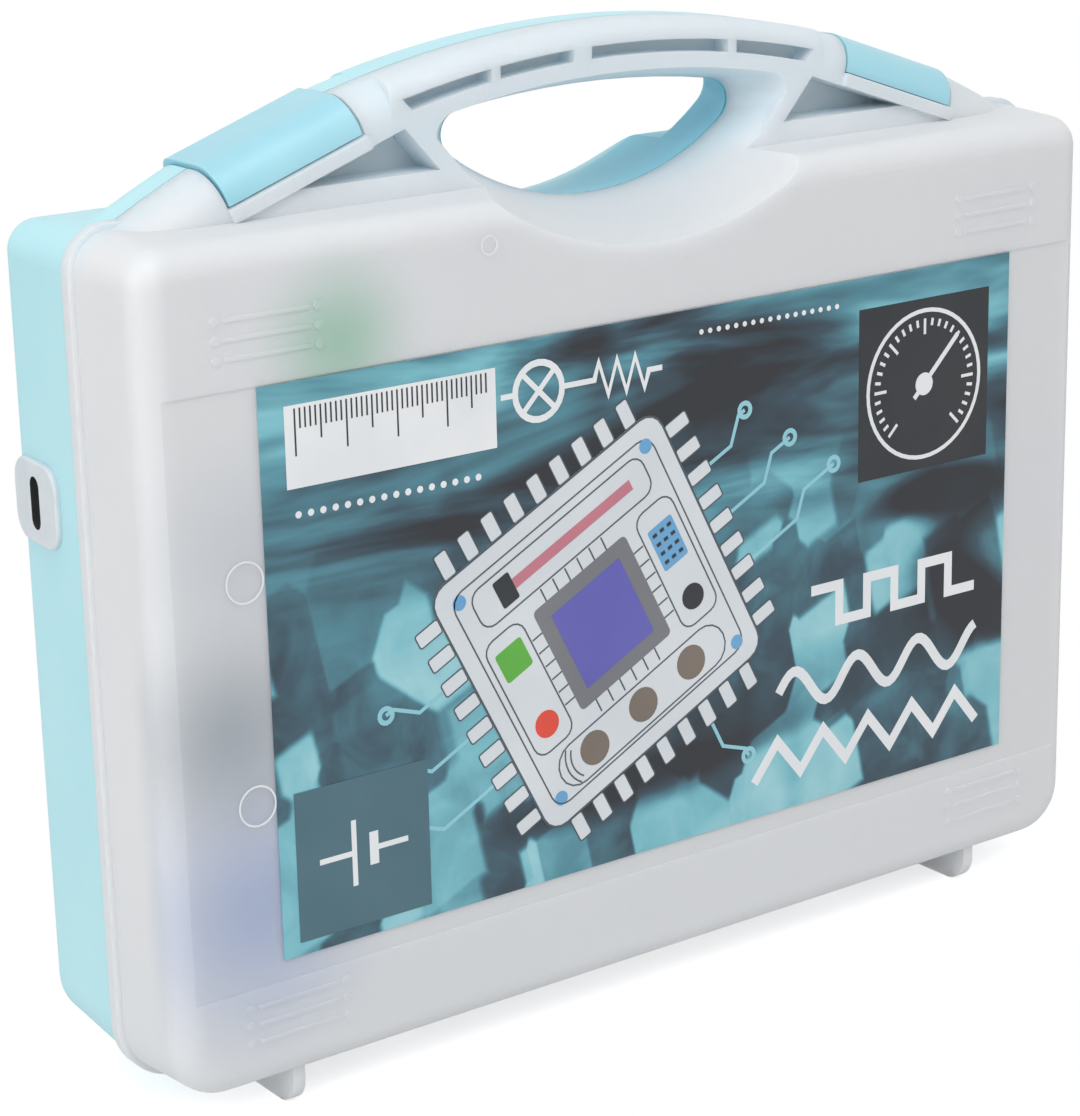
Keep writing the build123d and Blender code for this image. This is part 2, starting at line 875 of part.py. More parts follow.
# Base: a drafted tray with the back half of the handle, latch ears, posts and hinge pins
with BuildPart() as base_shell:
    add(base_block)
    add(base_well, mode=Mode.SUBTRACT)
    add(base_arch)
    with BuildSketch(base_rim.offset(-overcut)):
        add(slope_band(-arch_depth, web_drop, -latch_room, latch_room))
    extrude(amount=latch_slot_back + overcut, mode=Mode.SUBTRACT)
    with BuildSketch(base_rim.offset(web_thickness)):
        add(slope_band(-arch_depth, latch_slot_floor, -latch_room, latch_room))
    extrude(amount=latch_slot_back - web_thickness, mode=Mode.SUBTRACT)
    with BuildSketch(base_rim.offset(web_thickness)):
        add(latch_pocket(latch_slot_floor + ledge_thickness))
    extrude(amount=arch_back_depth, mode=Mode.SUBTRACT)
    add(base_hollow.part, mode=Mode.SUBTRACT)
    for bore in pivot_bores:
        add(bore, mode=Mode.SUBTRACT)
    for fin in base_feet:
        add(fin)
    for ear in base_ears:
        add(ear)
    for side in (-1, 1):
        with BuildSketch(across(side * hinge_x - hinge_pin_length / 2)):
            with Locations((0, -hinge_drop)):
                Circle(hinge_pin_radius)
        extrude(amount=hinge_pin_length)
    with BuildSketch(facing_lid(base_inside)):
        with Locations((0, screw_middle)):
            with GridLocations(screw_span_x, screw_span_z, 2, 2):
                Circle(boss_radius)
    extrude(amount=base_inside - panel_back)
    with BuildSketch(facing_lid(panel_back)):
        with Locations((0, screw_middle)):
            with GridLocations(screw_span_x, screw_span_z, 2, 2):
                Circle(screw_radius + screw_fit)
    extrude(amount=-boss_bore_depth, mode=Mode.SUBTRACT)
    with BuildSketch(facing_lid(base_inside)):
        with Locations((controller_x, controller_middle)):
            with GridLocations(controller_hole_x, controller_hole_z, 2, 2):
                Circle(controller_boss_radius)
    extrude(amount=controller_boss_height)
    with BuildSketch(facing_lid(base_inside - controller_boss_height)):
        with Locations((controller_x, controller_middle)):
            with GridLocations(controller_hole_x, controller_hole_z, 2, 2):
                Circle(controller_screw_radius + screw_fit)
    extrude(amount=-controller_boss_height, mode=Mode.SUBTRACT)
    with BuildSketch(port_wall_plane.offset(grommet_flange)):
        RectangleRounded(
            grommet_plug_width + 2 * grommet_fit,
            grommet_plug_height + 2 * grommet_fit,
            plug_corner,
        )
    extrude(amount=-grommet_reach, mode=Mode.SUBTRACT)
base_shell.part.label = "base_shell"
export_step(base_shell.part, "parts/base_shell.step")

# Latch on the right shoulder: a curved skin with end ribs, a knuckle and two moulded pins
with BuildPart() as latch_right:
    with BuildSketch(latch_plane):
        with BuildLine():
            Line((latch_pivot_back, 0), (-latch_bend, 0))
            CenterArc((-latch_bend, -shoulder_round), shoulder_round, 90, 90)
            Line((-arch_depth, -shoulder_round), (latch_skin - arch_depth, -shoulder_round))
            CenterArc((-latch_bend, -shoulder_round), shoulder_round - latch_skin, 90, 90)
            Line((-latch_bend, -latch_skin), (latch_pivot_back, -latch_skin))
            Line((latch_pivot_back, -latch_skin), (latch_pivot_back, 0))
        make_face()
        with Locations((latch_pivot_back, -latch_knuckle)):
            Circle(latch_knuckle)
    extrude(amount=latch_length)
    for end in (0, latch_length - latch_rib):
        with BuildSketch(latch_plane.offset(end)):
            with BuildLine():
                Line((-latch_rib_start, -latch_skin / 2), (-latch_bend, -latch_skin / 2))
                CenterArc((-latch_bend, -shoulder_round), shoulder_round - latch_skin / 2, 90, 90)
                Line((latch_skin / 2 - arch_depth, -shoulder_round), (-latch_rib_foot, -shoulder_round))
                Line((-latch_rib_foot, -shoulder_round), (-latch_rib_start, -latch_skin / 2))
            make_face()
        extrude(amount=latch_rib)
    with BuildSketch(latch_plane.offset(-latch_pin_reach)):
        with Locations((latch_pivot_back, -latch_knuckle)):
            Circle(latch_pin_radius)
    extrude(amount=latch_length + 2 * latch_pin_reach)
latch_right.part.label = "latch_right"
export_step(latch_right.part, "parts/latch_right.step")

# Latch on the left shoulder, the mirror image of the right one
with BuildPart() as latch_left:
    mirror(latch_right.part, about=Plane.YZ)
latch_left.part.label = "latch_left"
export_step(latch_left.part, "parts/latch_left.step")

# Printed sheet in the shallow band on the lid's face
label_face = facing_lid(band_depth - lid_depth)
with BuildPart() as front_label:
    with BuildSketch(label_face):
        with Locations((label_x, label_middle)):
            Rectangle(label_width, label_height)
    extrude(amount=label_thickness)
front_label.part.label = "front_label"
export_step(front_label.part, "parts/front_label.step")

# Frosted insert that frames the port in the left wall
with BuildPart() as usb_grommet:
    with BuildSketch(port_wall_plane):
        RectangleRounded(grommet_width, grommet_height, grommet_corner)
    extrude(amount=grommet_flange)
    rim = usb_grommet.faces().sort_by(Axis(port_wall_plane.origin, port_wall_plane.z_dir))[-1]
    fillet(rim.edges(), grommet_flange / 2)
    with BuildSketch(port_wall_plane):
        RectangleRounded(grommet_plug_width, grommet_plug_height, plug_corner - grommet_fit)
    extrude(amount=-wall)
    with BuildSketch(across(port_mouth_x - grommet_width)):
        with Locations((port_depth, port_middle)):
            SlotOverall(port_width + 2 * port_fit, port_height + 2 * port_fit, rotation=90)
    extrude(amount=2 * grommet_width, mode=Mode.SUBTRACT)
usb_grommet.part.label = "usb_grommet"
export_step(usb_grommet.part, "parts/usb_grommet.step")

# Metal shell of the port, closed at its inner end
with BuildPart() as usb_receptacle:
    with BuildSketch(across(port_mouth_x)):
        with Locations((port_depth, port_middle)):
            SlotOverall(port_width, port_height, rotation=90)
    extrude(amount=port_length)
    with BuildSketch(across(port_mouth_x)):
        with Locations((port_depth, port_middle)):
            SlotOverall(port_width - 2 * port_wall, port_height - 2 * port_wall, rotation=90)
    extrude(amount=port_length - port_back, mode=Mode.SUBTRACT)
usb_receptacle.part.label = "usb_receptacle"
export_step(usb_receptacle.part, "parts/usb_receptacle.step")

# Contact tongue in the middle of the port
with BuildPart() as usb_tongue:
    with BuildSketch(across(port_mouth_x + port_length - port_back)):
        with Locations((port_depth, port_middle)):
            Rectangle(tongue_thickness, tongue_width)
    extrude(amount=-tongue_length)
usb_tongue.part.label = "usb_tongue"
export_step(usb_tongue.part, "parts/usb_tongue.step")

# Controller board on its four posts
controller_face = facing_lid(controller_front)
with BuildPart() as controller_board:
    with BuildSketch(controller_face):
        with Locations((controller_x, controller_middle)):
            RectangleRounded(controller_width, controller_height, controller_corner)
            with GridLocations(controller_hole_x, controller_hole_z, 2, 2):
                Circle(controller_hole, mode=Mode.SUBTRACT)
    extrude(amount=-controller_thickness)
controller_board.part.label = "controller_board"
export_step(controller_board.part, "parts/controller_board.step")

# Screws that hold the controller board
with BuildPart() as controller_screws:
    with BuildSketch(controller_face):
        with Locations((controller_x, controller_middle)):
            with GridLocations(controller_hole_x, controller_hole_z, 2, 2):
                Circle(controller_screw_head_radius)
    extrude(amount=controller_screw_head)
    with BuildSketch(controller_face):
        with Locations((controller_x, controller_middle)):
            with GridLocations(controller_hole_x, controller_hole_z, 2, 2):
                Circle(controller_screw_radius)
    extrude(amount=-(controller_thickness + controller_boss_height - screw_fit))
controller_screws.part.label = "controller_screws"
export_step(controller_screws.part, "parts/controller_screws.step")

# Controller chip and the two socket strips
with BuildPart() as controller_chip:
    with BuildSketch(controller_face):
        with Locations((chip_x, controller_middle - chip_drop)):
            Rectangle(chip_length, chip_width)
    extrude(amount=chip_height)
    chamfer(controller_chip.faces().sort_by(Axis.Y)[0].edges(), chip_bevel)
controller_chip.part.label = "controller_chip"
export_step(controller_chip.part, "parts/controller_chip.step")

socket_rise = controller_height / 2 - socket_edge
with BuildPart() as controller_sockets:
    with BuildSketch(controller_face):
        with Locations((socket_x, controller_middle + socket_rise)):
            Rectangle(socket_long, socket_width)
        with Locations((socket_x, controller_middle - socket_rise)):
            Rectangle(socket_short, socket_width)
    extrude(amount=socket_depth)
controller_sockets.part.label = "controller_sockets"
export_step(controller_sockets.part, "parts/controller_sockets.step")

# Reset button: a square body with a bore, and a round cap that slides in it
with BuildPart() as reset_button:
    with BuildSketch(controller_face):
        with Locations((reset_x, controller_middle - reset_drop)):
            Rectangle(reset_body, reset_body)
    extrude(amount=reset_body_height)
    with BuildSketch(controller_face.offset(reset_body_height)):
        with Locations((reset_x, controller_middle - reset_drop)):
            Circle(reset_cap_radius + running_gap)
    extrude(amount=-(reset_cap_hold + reset_travel + reset_play), mode=Mode.SUBTRACT)
reset_button.part.label = "reset_button"
export_step(reset_button.part, "parts/reset_button.step")

with BuildPart() as reset_cap:
    with BuildSketch(controller_face.offset(reset_body_height - reset_cap_hold)):
        with Locations((reset_x, controller_middle - reset_drop)):
            Circle(reset_cap_radius)
    extrude(amount=reset_cap_hold + reset_cap_height)
reset_cap.part.label = "reset_cap"
export_step(reset_cap.part, "parts/reset_cap.step")

# Mounting frame behind the board
with BuildPart() as mounting_frame:
    with BuildSketch(facing_lid(panel_back)):
        with BuildLine():
            half = frame_width / 2
            Polyline(
                (-frame_dip_x, frame_hump),
                (-frame_hump_x, frame_hump),
                (-half, frame_shoulder),
                (-half, frame_bottom),
                (half, frame_bottom),
                (half, frame_shoulder),
                (frame_hump_x, frame_hump),
                (frame_dip_x, frame_hump),
            )
            ThreePointArc((frame_dip_x, frame_hump), (0, frame_dip), (-frame_dip_x, frame_hump))
        make_face()
        with Locations((0, screw_middle)):
            RectangleRounded(window_width, window_height, board_corner, mode=Mode.SUBTRACT)
            with GridLocations(screw_span_x, screw_span_z, 2, 2):
                Circle(board_hole, mode=Mode.SUBTRACT)
    extrude(amount=frame_thickness)
    sides = mounting_frame.edges().filter_by(Axis.Y).group_by(Axis.X)
    fillet(sides[0] + sides[-1], frame_corner)
mounting_frame.part.label = "mounting_frame"
export_step(mounting_frame.part, "parts/mounting_frame.step")

# Main board with a slot for the servo
board_face = facing_lid(-board_front)
with BuildPart() as main_board:
    with BuildSketch(board_face):
        with Locations((0, (board_bottom + board_top) / 2)):
            RectangleRounded(board_width, board_top - board_bottom, board_corner)
        with Locations((0, screw_middle)):
            with GridLocations(screw_span_x, screw_span_z, 2, 2):
                Circle(board_hole, mode=Mode.SUBTRACT)
        with Locations((servo_x, servo_middle)):
            Rectangle(
                servo_body_width + servo_slot_fit,
                servo_body_length + servo_slot_fit,
                mode=Mode.SUBTRACT,
            )
            with GridLocations(0, servo_screw_spacing, 1, 2):
                Circle(servo_screw_radius + screw_fit, mode=Mode.SUBTRACT)
    extrude(amount=-board_thickness)
main_board.part.label = "main_board"
export_step(main_board.part, "parts/main_board.step")

# Four screws that hold board and frame to the posts
with BuildPart() as panel_screws:
    with BuildSketch(board_face):
        with Locations((0, screw_middle)):
            with GridLocations(screw_span_x, screw_span_z, 2, 2):
                Circle(screw_head_radius)
    extrude(amount=screw_head_height)
    with BuildSketch(board_face.offset(screw_head_height)):
        with Locations((0, screw_middle)):
            with GridLocations(screw_span_x, screw_span_z, 2, 2):
                RegularPolygon(screw_socket_width / 2, 6)
    extrude(amount=-screw_socket_depth, mode=Mode.SUBTRACT)
    with BuildSketch(board_face):
        with Locations((0, screw_middle)):
            with GridLocations(screw_span_x, screw_span_z, 2, 2):
                Circle(screw_radius)
    extrude(amount=-screw_length)
panel_screws.part.label = "panel_screws"
export_step(panel_screws.part, "parts/panel_screws.step")

# Liquid crystal display: carrier board, metal bezel, glass and pin header
display_base = plate(
    board_face,
    display_board_width,
    display_board_height,
    display_board_thickness,
    display_x,
    display_middle,
    display_corner,
)
display_face = board_face.offset(display_board_thickness)
bezel_middle = display_middle + display_bezel_shift
with BuildPart() as display_board:
    add(display_base)
display_board.part.label = "display_board"
export_step(display_board.part, "parts/display_board.step")

with BuildPart() as display_bezel:
    with BuildSketch(display_face):
        with Locations((display_x, bezel_middle)):
            Rectangle(display_bezel_width, display_bezel_height)
    extrude(amount=display_bezel_depth)
    chamfer(display_bezel.faces().sort_by(Axis.Y)[0].edges(), display_bevel)
    with BuildSketch(display_face.offset(display_bezel_depth)):
        with Locations((display_x, bezel_middle)):
            Rectangle(display_window_width, display_window_height)
    extrude(amount=-display_glass_depth, mode=Mode.SUBTRACT)
display_bezel.part.label = "display_bezel"
export_step(display_bezel.part, "parts/display_bezel.step")

with BuildPart() as display_glass:
    with BuildSketch(display_face.offset(display_bezel_depth - display_glass_depth)):
        with Locations((display_x, bezel_middle)):
            Rectangle(display_window_width - 2 * glass_fit, display_window_height - 2 * glass_fit)
    extrude(amount=display_glass_depth - glass_set_back)
display_glass.part.label = "display_glass"
export_step(display_glass.part, "parts/display_glass.step")

header_middle = display_middle - display_board_height / 2 + header_height
with BuildPart() as display_header:
    with BuildSketch(display_face):
        with Locations((display_x - display_header_shift, header_middle)):
            Rectangle(display_pins * pin_pitch, header_height)
    extrude(amount=header_height)
    with BuildSketch(display_face.offset(header_height)):
        with Locations((display_x - display_header_shift, header_middle)):
            with GridLocations(pin_pitch, 0, display_pins, 1):
                Rectangle(pin_side, pin_side)
    extrude(amount=pin_stub)
display_header.part.label = "display_header"
export_step(display_header.part, "parts/display_header.step")

# Ultrasonic sensor: header, board, two cans and their meshes
with BuildPart() as sonic_header:
    with BuildSketch(board_face):
        with Locations((sonic_x, sonic_middle - sonic_board_height / 2 + header_height)):
            Rectangle(sonic_pins * pin_pitch, header_height)
    extrude(amount=header_height)
sonic_header.part.label = "sonic_header"
export_step(sonic_header.part, "parts/sonic_header.step")

sonic_back = board_face.offset(header_height)
sonic_face = sonic_back.offset(board_thickness)
with BuildPart() as sonic_board:
    add(
        plate(
            sonic_back,
            sonic_board_width,
            sonic_board_height,
            board_thickness,
            sonic_x,
            sonic_middle,
            carrier_corner,
        )
    )
sonic_board.part.label = "sonic_board"
export_step(sonic_board.part, "parts/sonic_board.step")

with BuildPart() as sonic_cans:
    with BuildSketch(sonic_face):
        with Locations((sonic_x, sonic_middle)):
            with GridLocations(sonic_spacing, 0, 2, 1):
                Circle(sonic_can_radius)
    extrude(amount=sonic_can_height)
    fillet(sonic_cans.faces().filter_by(Axis.Y).group_by(Axis.Y)[0].edges(), sonic_can_wall / 2)
    with BuildSketch(sonic_face.offset(sonic_can_height)):
        with Locations((sonic_x, sonic_middle)):
            with GridLocations(sonic_spacing, 0, 2, 1):
                Circle(sonic_can_radius - 2 * sonic_can_wall)
    extrude(amount=-sonic_mesh_inset, mode=Mode.SUBTRACT)
sonic_cans.part.label = "sonic_cans"
export_step(sonic_cans.part, "parts/sonic_cans.step")

with BuildPart() as sonic_meshes:
    with BuildSketch(sonic_face.offset(sonic_can_height - sonic_mesh_inset)):
        with Locations((sonic_x, sonic_middle)):
            with GridLocations(sonic_spacing, 0, 2, 1):
                Circle(sonic_can_radius - 2 * sonic_can_wall - glass_fit)
    extrude(amount=sonic_mesh_thickness)
sonic_meshes.part.label = "sonic_meshes"
export_step(sonic_meshes.part, "parts/sonic_meshes.step")

# Servo: body through the board, flange on it, gear dome and shaft
servo_top = servo_flange_thickness + servo_body_front
shaft_middle = servo_middle - servo_body_length / 2 + servo_gear_radius
with BuildPart() as servo_body:
    with BuildSketch(board_face):
        with Locations((servo_x, servo_middle)):
            Rectangle(servo_body_width, servo_flange_length)
            with GridLocations(0, servo_screw_spacing, 1, 2):
                Circle(servo_screw_radius + screw_fit, mode=Mode.SUBTRACT)
    extrude(amount=servo_flange_thickness)
    with BuildSketch(board_face.offset(-servo_body_back)):
        with Locations((servo_x, servo_middle)):
            Rectangle(servo_body_width, servo_body_length)
    extrude(amount=servo_body_back + servo_top)
    with BuildSketch(board_face.offset(servo_top)):
        with Locations((servo_x, shaft_middle)):
            Circle(servo_gear_radius)
    extrude(amount=servo_gear_height)
    with BuildSketch(board_face.offset(servo_top + servo_gear_height)):
        with Locations((servo_x, shaft_middle)):
            Circle(servo_shaft_radius)
    extrude(amount=servo_shaft_height)
servo_body.part.label = "servo_body"
export_step(servo_body.part, "parts/servo_body.step")

# Servo horn: a hub over the shaft and one tapering arm with holes
hub_face = board_face.offset(servo_top + servo_gear_height + horn_lift)
horn_spot = Location((servo_x, shaft_middle), horn_angle)
with BuildPart() as servo_horn:
    with BuildSketch(hub_face):
        with Locations((servo_x, shaft_middle)):
            Circle(horn_hub_radius)
    extrude(amount=horn_hub_depth)
    with BuildSketch(hub_face.offset(horn_hub_depth - horn_thickness)):
        with Locations(horn_spot):
            Polygon(
                (0, horn_root),
                (0, -horn_root),
                (horn_length, -horn_tip_radius),
                (horn_length, horn_tip_radius),
                align=None,
            )
            with Locations((horn_length, 0)):
                Circle(horn_tip_radius)
            with Locations((horn_hole_first + horn_hole_span / 2, 0)):
                with GridLocations(horn_hole_pitch, 0, horn_holes, 1):
                    Circle(horn_hole, mode=Mode.SUBTRACT)
    extrude(amount=horn_thickness)
    with BuildSketch(hub_face):
        with Locations((servo_x, shaft_middle)):
            Circle(servo_shaft_radius + running_gap)
    extrude(amount=servo_shaft_height, mode=Mode.SUBTRACT)
servo_horn.part.label = "servo_horn"
export_step(servo_horn.part, "parts/servo_horn.step")

with BuildPart() as servo_screws:
    with BuildSketch(board_face.offset(servo_flange_thickness)):
        with Locations((servo_x, servo_middle)):
            with GridLocations(0, servo_screw_spacing, 1, 2):
                Circle(servo_screw_head)
    extrude(amount=servo_screw_radius)
    with BuildSketch(board_face.offset(servo_flange_thickness)):
        with Locations((servo_x, servo_middle)):
            with GridLocations(0, servo_screw_spacing, 1, 2):
                Circle(servo_screw_radius)
    extrude(amount=-(servo_flange_thickness + board_thickness))
servo_screws.part.label = "servo_screws"
export_step(servo_screws.part, "parts/servo_screws.step")

# Slide potentiometer: slotted body, lever and cap
slide_x = slide_left + slide_length / 2
slide_rest = slide_x + slide_travel / 2
with BuildPart() as slide_body:
    with BuildSketch(board_face):
        with Locations((slide_x, slide_middle)):
            Rectangle(slide_length, slide_body_height)
    extrude(amount=slide_body_depth)
    with BuildSketch(board_face.offset(slide_body_depth)):
        with Locations((slide_x, slide_middle)):
            SlotOverall(slide_slot_length, slide_slot_width)
    extrude(amount=-slide_slot_depth, mode=Mode.SUBTRACT)
slide_body.part.label = "slide_body"
export_step(slide_body.part, "parts/slide_body.step")

lever_foot = slide_body_depth - slide_slot_depth + lever_play
with BuildPart() as slide_lever:
    with BuildSketch(board_face.offset(lever_foot)):
        with Locations((slide_rest, slide_middle)):
            Rectangle(slide_lever_width, slide_lever_thickness)
    extrude(amount=slide_body_depth - lever_foot + slide_lever_reach)
slide_lever.part.label = "slide_lever"
export_step(slide_lever.part, "parts/slide_lever.step")

with BuildPart() as slide_cap:
    with BuildSketch(board_face.offset(slide_body_depth + slide_cap_lift)):
        with Locations((slide_rest, slide_middle)):
            Rectangle(slide_cap_length, slide_cap_width)
    extrude(amount=slide_cap_height)
    fillet(slide_cap.faces().sort_by(Axis.Y)[0].edges(), slide_cap_round)
    with BuildSketch(board_face.offset(slide_body_depth + slide_cap_lift)):
        with Locations((slide_rest, slide_middle)):
            Rectangle(slide_lever_width, slide_lever_thickness)
    extrude(amount=slide_lever_reach - slide_cap_lift, mode=Mode.SUBTRACT)
slide_cap.part.label = "slide_cap"
export_step(slide_cap.part, "parts/slide_cap.step")

# Push button: square housing with a bore, and a square cap on a stem
with BuildPart() as button_housing:
    with BuildSketch(board_face):
        with Locations((button_x, button_middle)):
            Rectangle(button_body, button_body)
    extrude(amount=button_body_height)
    chamfer(button_housing.faces().sort_by(Axis.Y)[0].edges(), button_bevel)
    with BuildSketch(board_face.offset(button_body_height)):
        with Locations((button_x, button_middle)):
            Circle(button_stem_radius + running_gap)
    extrude(amount=-(button_stem_hold + button_travel + button_play), mode=Mode.SUBTRACT)
button_housing.part.label = "button_housing"
export_step(button_housing.part, "parts/button_housing.step")

with BuildPart() as button_cap:
    with BuildSketch(board_face.offset(button_body_height + button_travel + button_play)):
        with Locations((button_x, button_middle)):
            Rectangle(button_cap_side, button_cap_side)
    extrude(amount=button_cap_height)
    fillet(button_cap.faces().sort_by(Axis.Y)[0].edges(), button_cap_round)
    with BuildSketch(board_face.offset(button_body_height - button_stem_hold)):
        with Locations((button_x, button_middle)):
            Circle(button_stem_radius)
    extrude(amount=button_stem_hold + button_travel + 2 * button_play)
button_cap.part.label = "button_cap"
export_step(button_cap.part, "parts/button_cap.step")

# Indicator light with a collar and a domed end
with BuildPart() as indicator_light:
    with BuildSketch(board_face):
        with Locations((led_x, led_middle)):
            Circle(led_radius + led_collar)
    extrude(amount=led_collar)
    with BuildSketch(board_face.offset(led_collar)):
        with Locations((led_x, led_middle)):
            Circle(led_radius)
    extrude(amount=led_length)
    fillet(indicator_light.faces().sort_by(Axis.Y)[0].edges(), led_dome)
indicator_light.part.label = "indicator_light"
export_step(indicator_light.part, "parts/indicator_light.step")

# Sound sensor: a metal can with a felt disc set in its face
with BuildPart() as sound_sensor:
    with BuildSketch(board_face):
        with Locations((sound_x, sound_middle)):
            Circle(sound_radius)
    extrude(amount=sound_height)
    with BuildSketch(board_face.offset(sound_height)):
        with Locations((sound_x, sound_middle)):
            Circle(sound_radius - sound_rim)
    extrude(amount=-sound_rim / 2, mode=Mode.SUBTRACT)
sound_sensor.part.label = "sound_sensor"
export_step(sound_sensor.part, "parts/sound_sensor.step")

# Infrared receiver: a block with a round lens on its face
with BuildPart() as infrared_receiver:
    with BuildSketch(board_face):
        with Locations((infrared_x, infrared_middle)):
            Rectangle(infrared_width, infrared_height)
    extrude(amount=infrared_depth)
    with BuildSketch(board_face.offset(infrared_depth)):
        with Locations((infrared_x, infrared_middle)):
            Circle(infrared_lens)
    extrude(amount=infrared_lens / 2)
    fillet(infrared_receiver.faces().sort_by(Axis.Y)[0].edges(), infrared_lens / 3)
infrared_receiver.part.label = "infrared_receiver"
export_step(infrared_receiver.part, "parts/infrared_receiver.step")

# Motion sensor: round base and frosted dome
with BuildPart() as motion_base:
    with BuildSketch(board_face):
        with Locations((motion_x, motion_middle)):
            Circle(motion_base_radius)
    extrude(amount=motion_base_height)
motion_base.part.label = "motion_base"
export_step(motion_base.part, "parts/motion_base.step")

with BuildPart() as motion_dome:
    with BuildSketch(board_face.offset(motion_base_height)):
        with Locations((motion_x, motion_middle)):
            Circle(motion_dome_radius)
    extrude(amount=motion_dome_rim + motion_dome_radius - dome_flat)
    fillet(motion_dome.faces().sort_by(Axis.Y)[0].edges(), motion_dome_radius - dome_flat)
motion_dome.part.label = "motion_dome"
export_step(motion_dome.part, "parts/motion_dome.step")

# Buzzer: a round can with a sound hole
with BuildPart() as buzzer:
    with BuildSketch(board_face):
        with Locations((buzzer_x, buzzer_middle)):
            Circle(buzzer_radius)
    extrude(amount=buzzer_height)
    fillet(buzzer.faces().sort_by(Axis.Y)[0].edges(), buzzer_round)
    with BuildSketch(board_face.offset(buzzer_height)):
        with Locations((buzzer_x, buzzer_middle)):
            Circle(buzzer_hole)
    extrude(amount=-buzzer_hole_depth, mode=Mode.SUBTRACT)
buzzer.part.label = "buzzer"
export_step(buzzer.part, "parts/buzzer.step")

# Relay module: carrier board, relay, screw terminal and its screws
with BuildPart() as relay_board:
    add(
        plate(
            board_face,
            relay_board_width,
            relay_board_height,
            board_thickness,
            relay_board_x,
            relay_board_middle,
            carrier_corner,
        )
    )
relay_board.part.label = "relay_board"
export_step(relay_board.part, "parts/relay_board.step")

relay_face = board_face.offset(board_thickness)
with BuildPart() as relay:
    with BuildSketch(relay_face):
        with Locations((relay_x, relay_board_middle)):
            Rectangle(relay_width, relay_length)
    extrude(amount=relay_height)
    chamfer(relay.faces().sort_by(Axis.Y)[0].edges(), relay_bevel)
relay.part.label = "relay"
export_step(relay.part, "parts/relay.step")

with BuildPart() as relay_terminal:
    with BuildSketch(relay_face):
        with Locations((terminal_x, relay_board_middle)):
            Rectangle(terminal_width, terminal_length)
    extrude(amount=terminal_height)
    with BuildSketch(relay_face.offset(terminal_height)):
        with Locations((terminal_x, relay_board_middle)):
            with GridLocations(0, terminal_screw_pitch, 1, terminal_screw_count):
                Circle(terminal_screw_radius + screw_fit)
    extrude(amount=-terminal_screw_depth, mode=Mode.SUBTRACT)
relay_terminal.part.label = "relay_terminal"
export_step(relay_terminal.part, "parts/relay_terminal.step")

with BuildPart() as terminal_screws:
    with BuildSketch(relay_face.offset(terminal_height - terminal_screw_depth)):
        with Locations((terminal_x, relay_board_middle)):
            with GridLocations(0, terminal_screw_pitch, 1, terminal_screw_count):
                Circle(terminal_screw_radius)
    extrude(amount=terminal_screw_depth - terminal_screw_set)
    with BuildSketch(relay_face.offset(terminal_height - terminal_screw_set)):
        with Locations((terminal_x, relay_board_middle)):
            with GridLocations(0, terminal_screw_pitch, 1, terminal_screw_count):
                Rectangle(2 * terminal_screw_radius, terminal_slot_width)
    extrude(amount=-terminal_slot_width, mode=Mode.SUBTRACT)
terminal_screws.part.label = "terminal_screws"
export_step(terminal_screws.part, "parts/terminal_screws.step")

# Climate sensor: a box with rows of vents
with BuildPart() as climate_sensor:
    with BuildSketch(board_face):
        with Locations((climate_x, climate_middle)):
            Rectangle(climate_width, climate_height)
    extrude(amount=climate_depth)
    with BuildSketch(board_face.offset(climate_depth)):
        with Locations((climate_x, climate_middle)):
            with GridLocations(climate_vent_pitch_x, climate_vent_pitch_z, climate_columns, climate_rows):
                Rectangle(climate_vent_width, climate_vent_height)
    extrude(amount=-climate_vent_depth, mode=Mode.SUBTRACT)
climate_sensor.part.label = "climate_sensor"
export_step(climate_sensor.part, "parts/climate_sensor.step")

# Touch pad and light sensor
with BuildPart() as touch_pad:
    with BuildSketch(board_face):
        with Locations((touch_x, touch_middle)):
            Circle(touch_radius)
    extrude(amount=touch_thickness)
touch_pad.part.label = "touch_pad"
export_step(touch_pad.part, "parts/touch_pad.step")

with BuildPart() as light_sensor:
    with BuildSketch(board_face):
        with Locations((light_x, light_middle)):
            Circle(light_radius)
            Rectangle(2 * light_radius, light_cut_height, mode=Mode.INTERSECT)
    extrude(amount=light_height)
light_sensor.part.label = "light_sensor"
export_step(light_sensor.part, "parts/light_sensor.step")

# Six open four-pin sockets for extra modules
with BuildPart() as module_connectors:
    for x in connector_x:
        for drop in connector_drops:
            z = board_top - drop
            with BuildSketch(board_face):
                with Locations((x, z)):
                    Rectangle(connector_length, connector_width)
            extrude(amount=connector_depth)
            with BuildSketch(board_face.offset(connector_depth)):
                with Locations((x, z)):
                    Rectangle(connector_length - 2 * connector_wall, connector_width - 2 * connector_wall)
            extrude(amount=-(connector_depth - connector_wall), mode=Mode.SUBTRACT)
            with BuildSketch(board_face.offset(connector_wall)):
                with Locations((x, z)):
                    with GridLocations(pin_pitch, 0, sonic_pins, 1):
                        Rectangle(pin_side, pin_side)
            extrude(amount=connector_depth - 2 * connector_wall)
module_connectors.part.label = "module_connectors"
export_step(module_connectors.part, "parts/module_connectors.step")
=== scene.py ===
import json
import math

